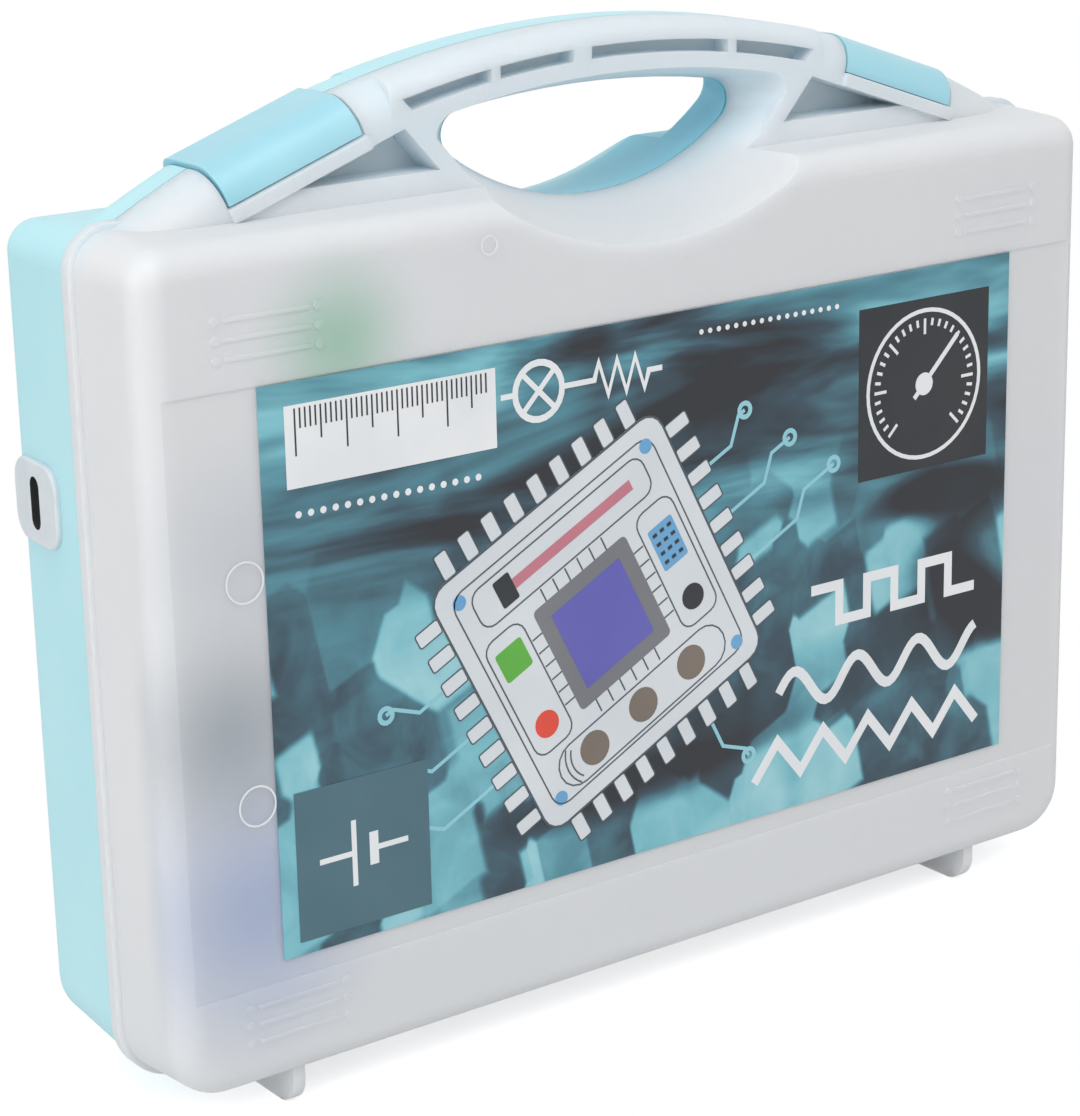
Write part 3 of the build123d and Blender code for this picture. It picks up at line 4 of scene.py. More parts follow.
import bmesh
import bpy
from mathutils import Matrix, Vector


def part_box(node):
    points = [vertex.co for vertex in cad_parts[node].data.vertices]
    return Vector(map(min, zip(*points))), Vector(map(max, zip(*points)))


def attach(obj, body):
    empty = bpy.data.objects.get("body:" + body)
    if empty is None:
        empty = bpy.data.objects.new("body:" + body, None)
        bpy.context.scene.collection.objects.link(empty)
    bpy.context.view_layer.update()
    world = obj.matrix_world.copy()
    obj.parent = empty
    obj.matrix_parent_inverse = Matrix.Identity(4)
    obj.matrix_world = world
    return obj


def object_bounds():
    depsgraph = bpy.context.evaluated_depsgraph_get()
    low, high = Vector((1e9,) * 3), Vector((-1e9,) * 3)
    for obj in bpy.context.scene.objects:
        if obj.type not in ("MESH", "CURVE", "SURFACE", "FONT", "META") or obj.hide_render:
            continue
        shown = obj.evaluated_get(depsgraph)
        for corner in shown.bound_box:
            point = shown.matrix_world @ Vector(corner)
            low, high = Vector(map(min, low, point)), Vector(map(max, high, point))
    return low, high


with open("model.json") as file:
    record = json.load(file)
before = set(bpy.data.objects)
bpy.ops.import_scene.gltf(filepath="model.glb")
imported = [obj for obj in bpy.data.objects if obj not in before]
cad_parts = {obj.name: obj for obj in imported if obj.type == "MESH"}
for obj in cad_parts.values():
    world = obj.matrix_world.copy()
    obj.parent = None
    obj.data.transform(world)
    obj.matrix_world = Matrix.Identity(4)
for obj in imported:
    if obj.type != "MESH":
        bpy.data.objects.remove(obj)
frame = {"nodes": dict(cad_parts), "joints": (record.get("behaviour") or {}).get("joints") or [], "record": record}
cad_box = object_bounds()
scene = bpy.context.scene
scene.view_settings.view_transform = "Standard"

camera_place = (-0.3277, -0.4387, 0.2428)
camera_turns = (73.377, 1.256, -36.246)
camera_data = bpy.data.cameras.new("camera")
camera_data.lens = 99.03
camera_data.sensor_width = 36.0
camera_data.clip_start = 0.01
camera = bpy.data.objects.new("camera", camera_data)
camera.location = camera_place
camera.rotation_euler = [math.radians(turn) for turn in camera_turns]
scene.collection.objects.link(camera)
scene.camera = camera


def tone(red, green, blue):
    """Colour as seen on a screen, from 0 to 255, turned into light."""
    shares = [value / 255 for value in (red, green, blue)]
    return [s / 12.92 if s <= 0.04045 else ((s + 0.055) / 1.055) ** 2.4 for s in shares] + [1.0]


def reckon(tree, operation, first, second=None, vector=False):
    """Adds a node that works out a value or a vector from one or two others."""
    step = tree.nodes.new("ShaderNodeVectorMath" if vector else "ShaderNodeMath")
    step.operation = operation
    for socket, value in zip(step.inputs, (first, second)):
        if isinstance(value, bpy.types.NodeSocket):
            tree.links.new(value, socket)
        elif value is not None:
            socket.default_value = value
    single = not vector or operation in ("LENGTH", "DISTANCE")
    return step.outputs["Value" if single else "Vector"]


def ease(tree, value, low, high, bottom, top):
    """Adds a node that spreads a value from one range into another, softly."""
    spread = tree.nodes.new("ShaderNodeMapRange")
    spread.interpolation_type = "SMOOTHSTEP"
    for socket, number in (("From Min", low), ("From Max", high), ("To Min", bottom), ("To Max", top)):
        spread.inputs[socket].default_value = number
    tree.links.new(value, spread.inputs["Value"])
    return spread.outputs["Result"]


table_size = 3.0
table_white = tone(236, 236, 236)
table_glow = 0.62
shadow_near, shadow_far = 0.0, 0.035
table_mesh = bpy.data.meshes.new("table")
corners = [(x * table_size, y * table_size, 0.0) for x, y in ((-1, -1), (1, -1), (1, 1), (-1, 1))]
table_mesh.from_pydata(corners, [], [(0, 1, 2, 3)])
table = bpy.data.objects.new("table", table_mesh)
scene.collection.objects.link(table)
table_finish = bpy.data.materials.new("table_finish")
table_finish.use_nodes = True
tree = table_finish.node_tree
tree.nodes.clear()
seen = tree.nodes.new("ShaderNodeLightPath").outputs["Is Camera Ray"]
matte = tree.nodes.new("ShaderNodeBsdfDiffuse")
matte.inputs["Color"].default_value = table_white
glow = tree.nodes.new("ShaderNodeEmission")
tree.links.new(reckon(tree, "MULTIPLY", seen, table_glow), glow.inputs["Strength"])
white_top = tree.nodes.new("ShaderNodeAddShader")
tree.links.new(matte.outputs[0], white_top.inputs[0])
tree.links.new(glow.outputs[0], white_top.inputs[1])
stand = (cad_box[1].x, cad_box[1].y, 0.0)
place = tree.nodes.new("ShaderNodeTexCoord").outputs["Object"]
outside = reckon(tree, "SUBTRACT", reckon(tree, "ABSOLUTE", place, vector=True), stand, vector=True)
outside = reckon(tree, "MAXIMUM", outside, (0.0, 0.0, 0.0), vector=True)
shadow_end = ease(tree, reckon(tree, "LENGTH", outside, vector=True), shadow_near, shadow_far, 0.0, 1.0)
from_below = tree.nodes.new("ShaderNodeNewGeometry").outputs["Backfacing"]
see_through = reckon(tree, "MAXIMUM", reckon(tree, "MULTIPLY", shadow_end, seen), from_below)
clear = tree.nodes.new("ShaderNodeBsdfTransparent")
table_or_room = tree.nodes.new("ShaderNodeMixShader")
output = tree.nodes.new("ShaderNodeOutputMaterial")
tree.links.new(see_through, table_or_room.inputs["Fac"])
tree.links.new(white_top.outputs[0], table_or_room.inputs[1])
tree.links.new(clear.outputs[0], table_or_room.inputs[2])
tree.links.new(table_or_room.outputs[0], output.inputs["Surface"])
table_mesh.materials.append(table_finish)

room_white = (1.0, 1.0, 1.0, 1.0)
room_light = 0.53
world = bpy.data.worlds.new("room")
scene.world = world
world.use_nodes = True
tree = world.node_tree
tree.nodes.clear()
rays = tree.nodes.new("ShaderNodeLightPath").outputs
full_white = reckon(tree, "MAXIMUM", rays["Is Camera Ray"], rays["Is Glossy Ray"])
full_white = reckon(tree, "MAXIMUM", full_white, rays["Is Transmission Ray"])
sky = tree.nodes.new("ShaderNodeBackground")
sky.inputs["Color"].default_value = room_white
output = tree.nodes.new("ShaderNodeOutputWorld")
tree.links.new(ease(tree, full_white, 0.0, 1.0, room_light, 1.0), sky.inputs["Strength"])
tree.links.new(sky.outputs[0], output.inputs["Surface"])

lamp_aim = Vector((0, 0, 0.09))
for name, place, size, power in (
    ("ceiling_lamp", (-0.25, -0.6, 1.05), 0.9, 6.3),
    ("left_lamp", (-1.1, -0.25, 0.45), 0.8, 3.2),
):
    lamp_data = bpy.data.lights.new(name, "AREA")
    lamp_data.size = size
    lamp_data.energy = power
    lamp = bpy.data.objects.new(name, lamp_data)
    lamp.location = place
    lamp.rotation_euler = (lamp_aim - lamp.location).to_track_quat("-Z", "Y").to_euler()
    scene.collection.objects.link(lamp)


# Base shell
# Back tray of the case with the rear half of the handle, injection-moulded in cyan
# polypropylene: a milky, satin plastic with a fine moulded grain. The wall of the
# handle's hole is painted a darker, deeper cyan as painted shade.
def moulding(name, pale, deep, cloud, roughness, grain=0.0):
    """Plastic whose colour drifts between two tones in clouds of the given size in metres."""
    finish = bpy.data.materials.new(name)
    finish.use_nodes = True
    tree = finish.node_tree
    shader = tree.nodes["Principled BSDF"]
    place = tree.nodes.new("ShaderNodeTexCoord")
    drift = tree.nodes.new("ShaderNodeTexNoise")
    drift.inputs["Scale"].default_value = 1 / cloud
    drift.inputs["Detail"].default_value = 3.0
    tint = tree.nodes.new("ShaderNodeValToRGB")
    tint.color_ramp.elements[0].position = 0.35
    tint.color_ramp.elements[0].color = deep
    tint.color_ramp.elements[1].position = 0.65
    tint.color_ramp.elements[1].color = pale
    tree.links.new(place.outputs["Object"], drift.inputs["Vector"])
    tree.links.new(drift.outputs["Fac"], tint.inputs["Fac"])
    tree.links.new(tint.outputs["Color"], shader.inputs["Base Color"])
    shader.inputs["Roughness"].default_value = roughness
    if grain > 0:
        grains_per_metre = 2500.0
        speck = tree.nodes.new("ShaderNodeTexNoise")
        speck.inputs["Scale"].default_value = grains_per_metre
        speck.inputs["Detail"].default_value = 2.0
        relief = tree.nodes.new("ShaderNodeBump")
        relief.inputs["Strength"].default_value = grain
        relief.inputs["Distance"].default_value = 0.0001
        tree.links.new(place.outputs["Object"], speck.inputs["Vector"])
        tree.links.new(speck.outputs["Fac"], relief.inputs["Height"])
        tree.links.new(relief.outputs["Normal"], shader.inputs["Normal"])
    return finish


def dress(finish, *names):
    """Gives CAD nodes their finish."""
    for name in names:
        for place in frame["nodes"][name].material_slots:
            place.material = finish


def milky(finish, weight, depth, tint, clear):
    """Lets light into a plastic: scattered to the given depth in metres, and partly through."""
    shader = finish.node_tree.nodes["Principled BSDF"]
    shader.inputs["Subsurface Weight"].default_value = weight
    shader.inputs["Subsurface Scale"].default_value = depth
    shader.inputs["Subsurface Radius"].default_value = tint
    shader.inputs["Transmission Weight"].default_value = clear
    shader.inputs["IOR"].default_value = 1.49
    return finish


class Paint:
    """Lays more colours over a plastic's own one, each by a share that depends on the place."""

    def __init__(self, finish):
        self.tree = finish.node_tree
        self.shader = self.tree.nodes["Principled BSDF"]
        self.shown = self.shader.inputs["Base Color"].links[0].from_socket
        self.place = self.tree.nodes.new("ShaderNodeTexCoord").outputs["Object"]
        parts = self.tree.nodes.new("ShaderNodeSeparateXYZ")
        self.tree.links.new(self.place, parts.inputs["Vector"])
        self.y = parts.outputs["Y"]
        self.z = parts.outputs["Z"]

    def away(self, middle, scale=(1.0, 0.0, 1.0)):
        """Distance from a place, with each axis scaled."""
        spread = reckon(self.tree, "MULTIPLY", self.place, scale, vector=True)
        spot = [number * size for number, size in zip(middle, scale)]
        return reckon(self.tree, "DISTANCE", spread, spot, vector=True)

    def fading(self, value, near, far, most=1.0):
        """Share that falls softly from most at the near value to nothing at the far one."""
        return ease(self.tree, value, near, far, most, 0.0)

    def times(self, first, second):
        """Product of two shares."""
        return reckon(self.tree, "MULTIPLY", first, second)

    def lay(self, share, colour):
        """Puts a colour over what is there, by this share."""
        blend = self.tree.nodes.new("ShaderNodeMix")
        blend.data_type = "RGBA"
        blend.inputs["B"].default_value = colour
        self.tree.links.new(share, blend.inputs["Factor"])
        self.tree.links.new(self.shown, blend.inputs["A"])
        self.shown = blend.outputs["Result"]
        self.tree.links.new(self.shown, self.shader.inputs["Base Color"])


cyan_depths = (0.35, 0.8, 1.0)
cyan_plastic = moulding("case_cyan", tone(194, 241, 250), tone(185, 235, 246), 0.05, 0.42, 0.25)
dress(milky(cyan_plastic, 0.25, 0.003, cyan_depths, 0.03), "base_shell")
handle_hole = next(box for box in frame["record"]["physics"]["openings"] if box["name"] == "handle_hole")
hole_height = (handle_hole["box_m"][0][2] + handle_hole["box_m"][1][2]) / 2
hole_reach = (0.034, 0.0125)
case_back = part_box("base_shell")[1].y
# Painted shade: the wall deep in the handle's hole is painted a darker, deeper cyan.
hole_painted_shade = Paint(cyan_plastic)
round_hole = hole_painted_shade.away((0, 0, hole_height), (1 / hole_reach[0], 0.0, 1 / hole_reach[1]))
hole_shade_share = hole_painted_shade.times(
    hole_painted_shade.fading(round_hole, 1.06, 1.25, 0.85),
    hole_painted_shade.fading(hole_painted_shade.y, case_back - 0.004, case_back - 0.001),
)
hole_painted_shade.lay(hole_shade_share, tone(108, 206, 230))

# Lid shell
# Front tray with the front half of the handle, moulded in natural polypropylene,
# which is frosted. Light and shade are painted into its colour: a painted shade on
# the front face, soft painted patches where parts lie close behind the face, painted
# cyan light on the top of the handle from the half behind it, and painted light in its pockets.
even_depths = (1.0, 1.0, 1.0)
frosted = moulding("lid_frosted", tone(238, 240, 243), tone(232, 235, 239), 0.06, 0.46, 0.3)
dress(milky(frosted, 0.6, 0.006, even_depths, 0.05), "lid_shell")
lid_low, lid_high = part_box("lid_shell")
lid_front, lid_back = lid_low.y, lid_high.y
face_depth = 0.0026
handle_foot, handle_crest = 0.149, 0.163
lid_painted_light = Paint(frosted)
# Painted shade: the lid's outer front face is painted a shade darker.
lid_painted_light.lay(lid_painted_light.fading(lid_painted_light.y, lid_front, lid_front + face_depth, 0.5), tone(226, 229, 233))
# Painted light: the top of the handle is painted cyan, as light from the cyan half behind it.
lid_painted_light.lay(lid_painted_light.fading(lid_painted_light.z, handle_crest, handle_foot, 0.6), tone(212, 230, 240))
# Painted light: the recessed pockets of the handle are painted lighter and bluer, as light through the thin
# plastic.
pocket_painted_light = lid_painted_light.times(
    lid_painted_light.fading(lid_painted_light.z, handle_crest - 0.008, handle_foot - 0.004, 0.65),
    lid_painted_light.fading(lid_painted_light.y, lid_back - 0.006, lid_back - 0.010),
)
lid_painted_light.lay(pocket_painted_light, tone(222, 240, 250))
# Painted light: soft patches in the colours of the parts close behind the front face, painted on as if seen
# through the frosted wall.
on_face = lid_painted_light.fading(lid_painted_light.y, lid_front + 0.003, lid_front + 0.010)
for node, shift, reach, most, colour in (
    ("button_cap", (-0.011, 0.009), 0.019, 0.8, tone(150, 196, 172)),
    ("servo_body", (-0.020, -0.002), 0.034, 0.8, tone(158, 174, 214)),
    ("slide_body", (-0.026, 0.006), 0.026, 0.75, tone(148, 158, 168)),
    ("sound_sensor", (-0.010, 0.004), 0.024, 0.4, tone(180, 186, 200)),
):
    low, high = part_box(node)
    spot = ((low.x + high.x) / 2 + shift[0], 0, (low.z + high.z) / 2 + shift[1])
    lid_painted_light.lay(lid_painted_light.times(on_face, lid_painted_light.fading(lid_painted_light.away(spot), 0.0, reach, most)), colour)

# Marks of the mould on the lid
# Round ejector marks stand a hair proud of the lid, two beside the label and a small
# one under the handle: part of the same moulding.
mm = 0.001
overprint = 0.0003


def arc(middle, radius, start, end, steps):
    """Points along part of a circle, angles in degrees from the right, turning upwards."""
    turns = [math.radians(start + (end - start) * step / steps) for step in range(steps + 1)]
    return [(middle[0] + radius * math.cos(turn), middle[1] + radius * math.sin(turn)) for turn in turns]


def drawn(points, width, closed=False):
    """Left and right edge of a line of this width, with mitred corners."""
    pairs = []
    for index, point in enumerate(points):
        before = points[index - 1] if closed or index > 0 else None
        after = points[(index + 1) % len(points)] if closed or index < len(points) - 1 else None
        sides = []
        for start, end in ((before, point), (point, after)):
            if start is not None and end is not None:
                run = (Vector(end) - Vector(start)).normalized()
                sides.append(Vector((-run.y, run.x)))
        out = sum(sides, Vector((0, 0))).normalized()
        reach = out * (width / 2 / max(out.dot(sides[0]), 0.5))
        pairs.append((Vector(point) + reach, Vector(point) - reach))
    return pairs, closed


def ring(middle, radius, width, steps=24):
    """Closed circular line."""
    return drawn(arc(middle, radius, 0, 360, steps)[:-1], width, closed=True)


def laid_on(name, shapes, front, thickness, finish, body):
    """Closed flat solids in x and z whose faces look out through the lid, in millimetres."""
    vertices, faces = [], []
    for number, (pairs, closed) in enumerate(shapes):
        first, count = len(vertices), len(pairs)
        face, back = front - number * overprint, front + thickness
        for left, right in pairs:
            for point, depth in ((left, face), (right, face), (right, back), (left, back)):
                vertices.append((point.x * mm, depth * mm, point.y * mm))
        for index in range(count if closed else count - 1):
            here, there = first + 4 * index, first + 4 * ((index + 1) % count)
            for side in range(4):
                after = (side + 1) % 4
                faces.append((here + side, here + after, there + after, there + side))
        if not closed:
            last = first + 4 * (count - 1)
            faces.append((first + 3, first + 2, first + 1, first))
            faces.append((last, last + 1, last + 2, last + 3))
    mesh = bpy.data.meshes.new(name)
    mesh.from_pydata(vertices, [], faces)
    shaped = bmesh.new()
    shaped.from_mesh(mesh)
    bmesh.ops.recalc_face_normals(shaped, faces=shaped.faces)
    shaped.to_mesh(mesh)
    shaped.free()
    mesh.materials.append(finish)
    piece = bpy.data.objects.new(name, mesh)
    scene.collection.objects.link(piece)
    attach(piece, body)


label_low, label_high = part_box("front_label")
band_face = label_high.y / mm
lid_face = lid_front / mm + 0.2
mark_line = 0.35
mark_proud = 0.06
mark_depth = 0.2
mark_plastic = moulding("mark_frosted", tone(236, 238, 241), tone(230, 233, 237), 0.01, 0.5)
side_marks = [ring(middle, 3.5, mark_line) for middle in ((-86.9, 97.2), (-86.6, 58.3))]
laid_on(
    "lid_side_marks", side_marks, band_face - mark_proud, mark_depth, mark_plastic, "lid"
)
top_mark = [ring((-36.7, 146.3), 1.6, mark_line)]
laid_on("lid_top_mark", top_mark, lid_face - mark_proud, mark_depth, mark_plastic, "lid")

# Latches
# Two snap latches on the shoulders of the handle, moulded in the same cyan plastic
# as the base but smoother, with their pins in one piece.
latch_plastic = moulding("latch_cyan", tone(174, 227, 240), tone(163, 219, 234), 0.03, 0.34, 0.12)
dress(milky(latch_plastic, 0.2, 0.002, cyan_depths, 0.05), "latch_left", "latch_right")


# Front label
# Glossy printed sheet stuck in the lid's shallow band: a blurred ground of teal
# streaks, pale blocks and black bars, under the drawings that follow.
def label_ground():
    """Print with streaks at the top and blurred blocks below, crossed by dark bars."""
    finish = bpy.data.materials.new("printed_label")
    finish.use_nodes = True
    tree = finish.node_tree
    shader = tree.nodes["Principled BSDF"]
    place = tree.nodes.new("ShaderNodeTexCoord").outputs["Object"]

    def leaning(turn, scale):
        """Place on the label, turned by some degrees and stretched."""
        lean = tree.nodes.new("ShaderNodeMapping")
        lean.inputs["Rotation"].default_value = (0.0, math.radians(turn), 0.0)
        lean.inputs["Scale"].default_value = scale
        tree.links.new(place, lean.inputs["Vector"])
        return lean.outputs["Vector"]

    def noise(scale, turn, rate, detail=3.0, twist=0.5):
        """Noise stretched along a slanting direction."""
        field = tree.nodes.new("ShaderNodeTexNoise")
        field.inputs["Scale"].default_value = rate
        field.inputs["Detail"].default_value = detail
        field.inputs["Distortion"].default_value = twist
        tree.links.new(leaning(turn, scale), field.inputs["Vector"])
        return field.outputs["Fac"]

    def mixed(share, first, second):
        """Two values mixed by a third."""
        mix = tree.nodes.new("ShaderNodeMix")
        mix.data_type = "FLOAT"
        for socket, value in (("Factor", share), ("A", first), ("B", second)):
            if isinstance(value, float):
                mix.inputs[socket].default_value = value
            else:
                tree.links.new(value, mix.inputs[socket])
        return mix.outputs["Result"]

    blocks = tree.nodes.new("ShaderNodeTexVoronoi")
    blocks.feature = "SMOOTH_F1"
    blocks.distance = "CHEBYCHEV"
    blocks.inputs["Scale"].default_value = 62.0
    blocks.inputs["Smoothness"].default_value = 0.12
    grey = tree.nodes.new("ShaderNodeSeparateColor")
    tree.links.new(leaning(17, (1.0, 1.0, 0.7)), blocks.inputs["Vector"])
    tree.links.new(blocks.outputs["Color"], grey.inputs["Color"])
    height = tree.nodes.new("ShaderNodeSeparateXYZ")
    tree.links.new(place, height.inputs["Vector"])

    streaks = ease(tree, noise((5.0, 1.0, 26.0), -24, 2.2, 4.0), 0.3, 0.72, 0.0, 0.8)
    patches = ease(tree, grey.outputs["Red"], 0.1, 0.9, 0.1, 1.0)
    cells = mixed(0.45, patches, noise((1.0, 1.0, 1.0), 0, 90.0))
    upper = ease(tree, height.outputs["Z"], 0.075, 0.105, 0.0, 1.0)
    bars = ease(tree, noise((2.0, 1.0, 9.0), 32, 3.4, 1.0, 1.2), 0.30, 0.40, 0.12, 1.0)
    posts = ease(tree, noise((9.0, 1.0, 2.0), 8, 3.0, 1.0, 0.8), 0.28, 0.40, 0.2, 1.0)
    crossed = reckon(tree, "MULTIPLY", bars, posts)
    light = reckon(tree, "MULTIPLY", mixed(upper, cells, streaks), crossed)
    inks = tree.nodes.new("ShaderNodeValToRGB")
    stops = (
        (0.08, tone(40, 44, 50)),
        (0.24, tone(56, 80, 94)),
        (0.46, tone(84, 142, 158)),
        (0.66, tone(124, 192, 204)),
        (0.92, tone(174, 220, 227)),
    )
    ramp = inks.color_ramp
    ramp.elements[0].position, ramp.elements[0].color = stops[0]
    ramp.elements[1].position, ramp.elements[1].color = stops[-1]
    for spot, ink in stops[1:-1]:
        ramp.elements.new(spot).color = ink
    tree.links.new(light, inks.inputs["Fac"])
    tree.links.new(inks.outputs["Color"], shader.inputs["Base Color"])
    shader.inputs["Roughness"].default_value = 0.3
    return finish


dress(label_ground(), "front_label")

# Drawings on the label
# Layers of ink, each a few hundredths of a millimetre thick: a pale chip that lies
# aslant with its pins and tracks, wave forms, a gauge, a ruler and circuit symbols.
ink_layer = 0.03
label_face = label_low.y / mm
label_middle = ((label_low.x + label_high.x) / 2 / mm, (label_low.z + label_high.z) / 2 / mm)


def disc(middle, radius, steps=12):
    """Filled circle, as rows from bottom to top."""
    pairs = []
    for step in range(1, 2 * steps, 2):
        turn = math.pi * step / (2 * steps)
        half, rise = radius * math.sin(turn), -radius * math.cos(turn)
        left = Vector((middle[0] - half, middle[1] + rise))
        right = Vector((middle[0] + half, middle[1] + rise))
        pairs.append((left, right))
    return pairs, False


def panel_rows(width, height, corner, steps=4):
    """Half width and height of each row of a rounded rectangle, from bottom to top."""
    rows = []
    for step in range(steps + 1):
        turn = math.pi / 2 * step / steps
        half = width / 2 - corner * (1 - math.sin(turn))
        rows.append((half, height / 2 - corner * (1 - math.cos(turn))))
    return [(half, -rise) for half, rise in rows] + [(half, rise) for half, rise in reversed(rows)]


def tile(middle, width, height, corner=0.0):
    """Filled rounded rectangle."""
    sharp = [(width / 2, -height / 2), (width / 2, height / 2)]
    rows = panel_rows(width, height, corner) if corner else sharp
    return [
        (Vector((middle[0] - half, middle[1] + rise)), Vector((middle[0] + half, middle[1] + rise)))
        for half, rise in rows
    ], False


def frame_line(middle, width, height, corner, line):
    """Closed line round a rounded rectangle."""
    rows = panel_rows(width, height, corner)
    right = [(middle[0] + half, middle[1] + rise) for half, rise in rows]
    left = [(middle[0] - half, middle[1] + rise) for half, rise in reversed(rows)]
    return drawn(right + left, line, closed=True)


def tilted(shape, turn, middle):
    """The shape turned by some degrees about the origin, then moved to its middle."""
    pairs, closed = shape
    cosine, sine = math.cos(math.radians(turn)), math.sin(math.radians(turn))

    def place(point):
        return Vector((
            middle[0] + point.x * cosine - point.y * sine,
            middle[1] + point.x * sine + point.y * cosine,
        ))

    return [(place(left), place(right)) for left, right in pairs], closed


def ink(name, red, green, blue):
    """Printing ink, a little uneven."""
    return moulding(name, tone(red, green, blue), tone(red - 8, green - 7, blue - 6), 0.02, 0.3)


def print_layer(name, layer, finish, shapes):
    """One ink of the label, drawn from its middle, on the layers before it."""
    placed = [tilted(shape, 0, label_middle) for shape in shapes]
    laid_on(name, placed, label_face - layer * ink_layer, ink_layer, finish, "lid")


white_ink = ink("ink_white", 238, 240, 242)
pale_ink = ink("ink_pale", 222, 227, 231)
line_ink = ink("ink_line", 84, 92, 100)
dark_ink = ink("ink_dark", 50, 53, 57)
teal_ink = ink("ink_teal", 82, 116, 128)
sky_ink = ink("ink_sky", 150, 208, 220)
chip_middle = (-15.0, -4.0)
chip_turn = 27
chip_side = 56.0
chip_line = 0.3
pin_count = 9
pin_pitch = 5.5
pin_length = 5.2
pin_width = 2.8
pin_corner = 0.5
pin_line = 0.25
pin_out = chip_side / 2 + pin_length / 2
pin_rows = [(number - (pin_count - 1) / 2) * pin_pitch for number in range(pin_count)]


def on_chip(shape):
    """Shape drawn from the chip's middle, turned with the chip."""
    return tilted(shape, chip_turn, chip_middle)


def turned(point, quarter):
    """Point of the chip turned by quarters of a circle."""
    turn = math.radians(90 * quarter)
    x, z = point
    return (x * math.cos(turn) - z * math.sin(turn), x * math.sin(turn) + z * math.cos(turn))


pins, pin_tips = [], []
for quarter in range(4):
    for along in pin_rows:
        size = (pin_length, pin_width) if quarter % 2 == 0 else (pin_width, pin_length)
        pins.append(on_chip(tile(turned((pin_out, along), quarter), size[0], size[1], pin_corner)))
        pin_tips.append((quarter, along))
print_layer("label_chip_pins", 1, pale_ink, pins)
print_layer("label_chip_pin_lines", 2, line_ink, [
    on_chip(frame_line((sign * pin_out, along), pin_length, pin_width, pin_corner, pin_line))
    for sign in (-1, 1) for along in pin_rows
] + [
    on_chip(frame_line((along, sign * pin_out), pin_width, pin_length, pin_corner, pin_line))
    for sign in (-1, 1) for along in pin_rows
])
print_layer("label_chip_body", 3, pale_ink, [on_chip(tile((0, 0), chip_side, chip_side, 4.0))])

strip = 18.7
cell_row = -19.4
cell_spots = (-12.5, 0, 12.5)
die = 23.0
die_pads = (-8, -5, -2, 1, 4, 7)
print_layer("label_chip_lines", 4, line_ink, [
    on_chip(shape) for shape in [
        frame_line((0, 0), chip_side - 0.4, chip_side - 0.4, 3.8, 0.4),
        frame_line((0, 0), chip_side - 7, chip_side - 7, 3.0, chip_line),
        frame_line((0, strip), 42, 8, 2.5, chip_line),
        frame_line((-strip, -0.5), 9, 26, 2.5, chip_line),
        frame_line((strip, -0.5), 9, 26, 2.5, chip_line),
        frame_line((0, cell_row), 42, 8.6, 4.2, chip_line),
    ] + [
        drawn([(side * die / 2, step), (side * (die / 2 + 2.4), step)], chip_line)
        for side in (-1, 1) for step in die_pads
    ] + [
        drawn([(step, side * die / 2), (step, side * (die / 2 + 2.8))], chip_line)
        for side in (-1, 1) for step in die_pads
    ] + [drawn(arc((-13, cell_row), radius, 142, 218, 8), chip_line) for radius in (5.0, 6.2)]
])
print_layer("label_die_frame", 4, ink("ink_grey", 126, 127, 132), [on_chip(tile((0, 0), die, die, 1.0))])
print_layer("label_die", 5, ink("ink_violet", 104, 102, 186), [on_chip(tile((0, 0), die - 6, die - 6))])
print_layer("label_red_dot", 4, ink("ink_red", 232, 80, 62), [on_chip(disc((-strip, -8.5), 2.6))])
print_layer("label_green_tiles", 4, ink("ink_green", 98, 180, 68), [
    on_chip(tile((-strip, 6.5), 6.2, 6.2, 0.6)),
])
print_layer("label_rose_bar", 4, ink("ink_rose", 204, 128, 142), [on_chip(tile((2, strip), 30, 2.1))])
print_layer("label_brown_discs", 4, ink("ink_brown", 128, 116, 106), [
    on_chip(disc((spot, cell_row), 3.3)) for spot in cell_spots
])
screw_reach = 22.9
print_layer("label_blue_screws", 4, ink("ink_blue", 112, 172, 216), [
    on_chip(disc((x * screw_reach, z * screw_reach), 1.4)) for x in (-1, 1) for z in (-1, 1)
] + [on_chip(tile((strip, 4), 6.0, 9.0, 0.5))])
print_layer("label_dark_spots", 5, dark_ink, [
    on_chip(tile((-14, strip), 3.8, 5.6, 0.4)),
    on_chip(disc((strip, -8.5), 2.5)),
] + [on_chip(tile((strip + x, 4 + z), 1.0, 0.7)) for x in (-1.8, 0, 1.8) for z in (-3, -1, 1, 3)])

track_least, track_growth = 5, 3.2
track_shortest, track_longest = 8, 30
track_bend = 4
track_start = chip_side / 2 + pin_length
print_right, print_bottom, print_top = 78, -45, 30
tracks, pads = [], []
for quarter, along in pin_tips:
    index = round(along / pin_pitch) + pin_count // 2
    run = track_least + track_growth * (index if quarter in (1, 2) else pin_count - 1 - index)
    if index % 2 or not track_shortest < run < track_longest:
        continue
    shifted = along + (track_bend if quarter in (0, 3) else -track_bend)
    bend = track_start + run * 0.5
    route = [(track_start, along), (bend, along), (bend + track_bend, shifted)]
    route.append((track_start + run, shifted))
    route = [turned(point, quarter) for point in route]
    track = on_chip(drawn(route, 0.7))
    tip = track[0][-1][0]
    if abs(tip.x) < print_right and print_bottom < tip.y < print_top:
        tracks.append(track)
        pads.append(on_chip(ring(route[-1], 1.3, 0.9, 16)))
print_layer("label_tracks", 1, sky_ink, tracks)
print_layer("label_track_pads", 2, sky_ink, pads)

wave_line = 2.0
wave_step = 7
square = []
for step in range(6):
    level = -15 + wave_step * ((step + 1) % 2)
    square += [(34 + wave_step * step, level), (41 + wave_step * step, level)]
sine = [(26 + 0.9 * step, -26.5 + 3.6 * math.sin(step * 0.36)) for step in range(57)]
teeth = [(20 + 5.7 * step, -43 + wave_step * (step % 2)) for step in range(11)]
print_layer("label_waves", 1, white_ink, [
    drawn(square, wave_line),
    drawn(sine, wave_line),
    drawn(teeth, wave_line),
])

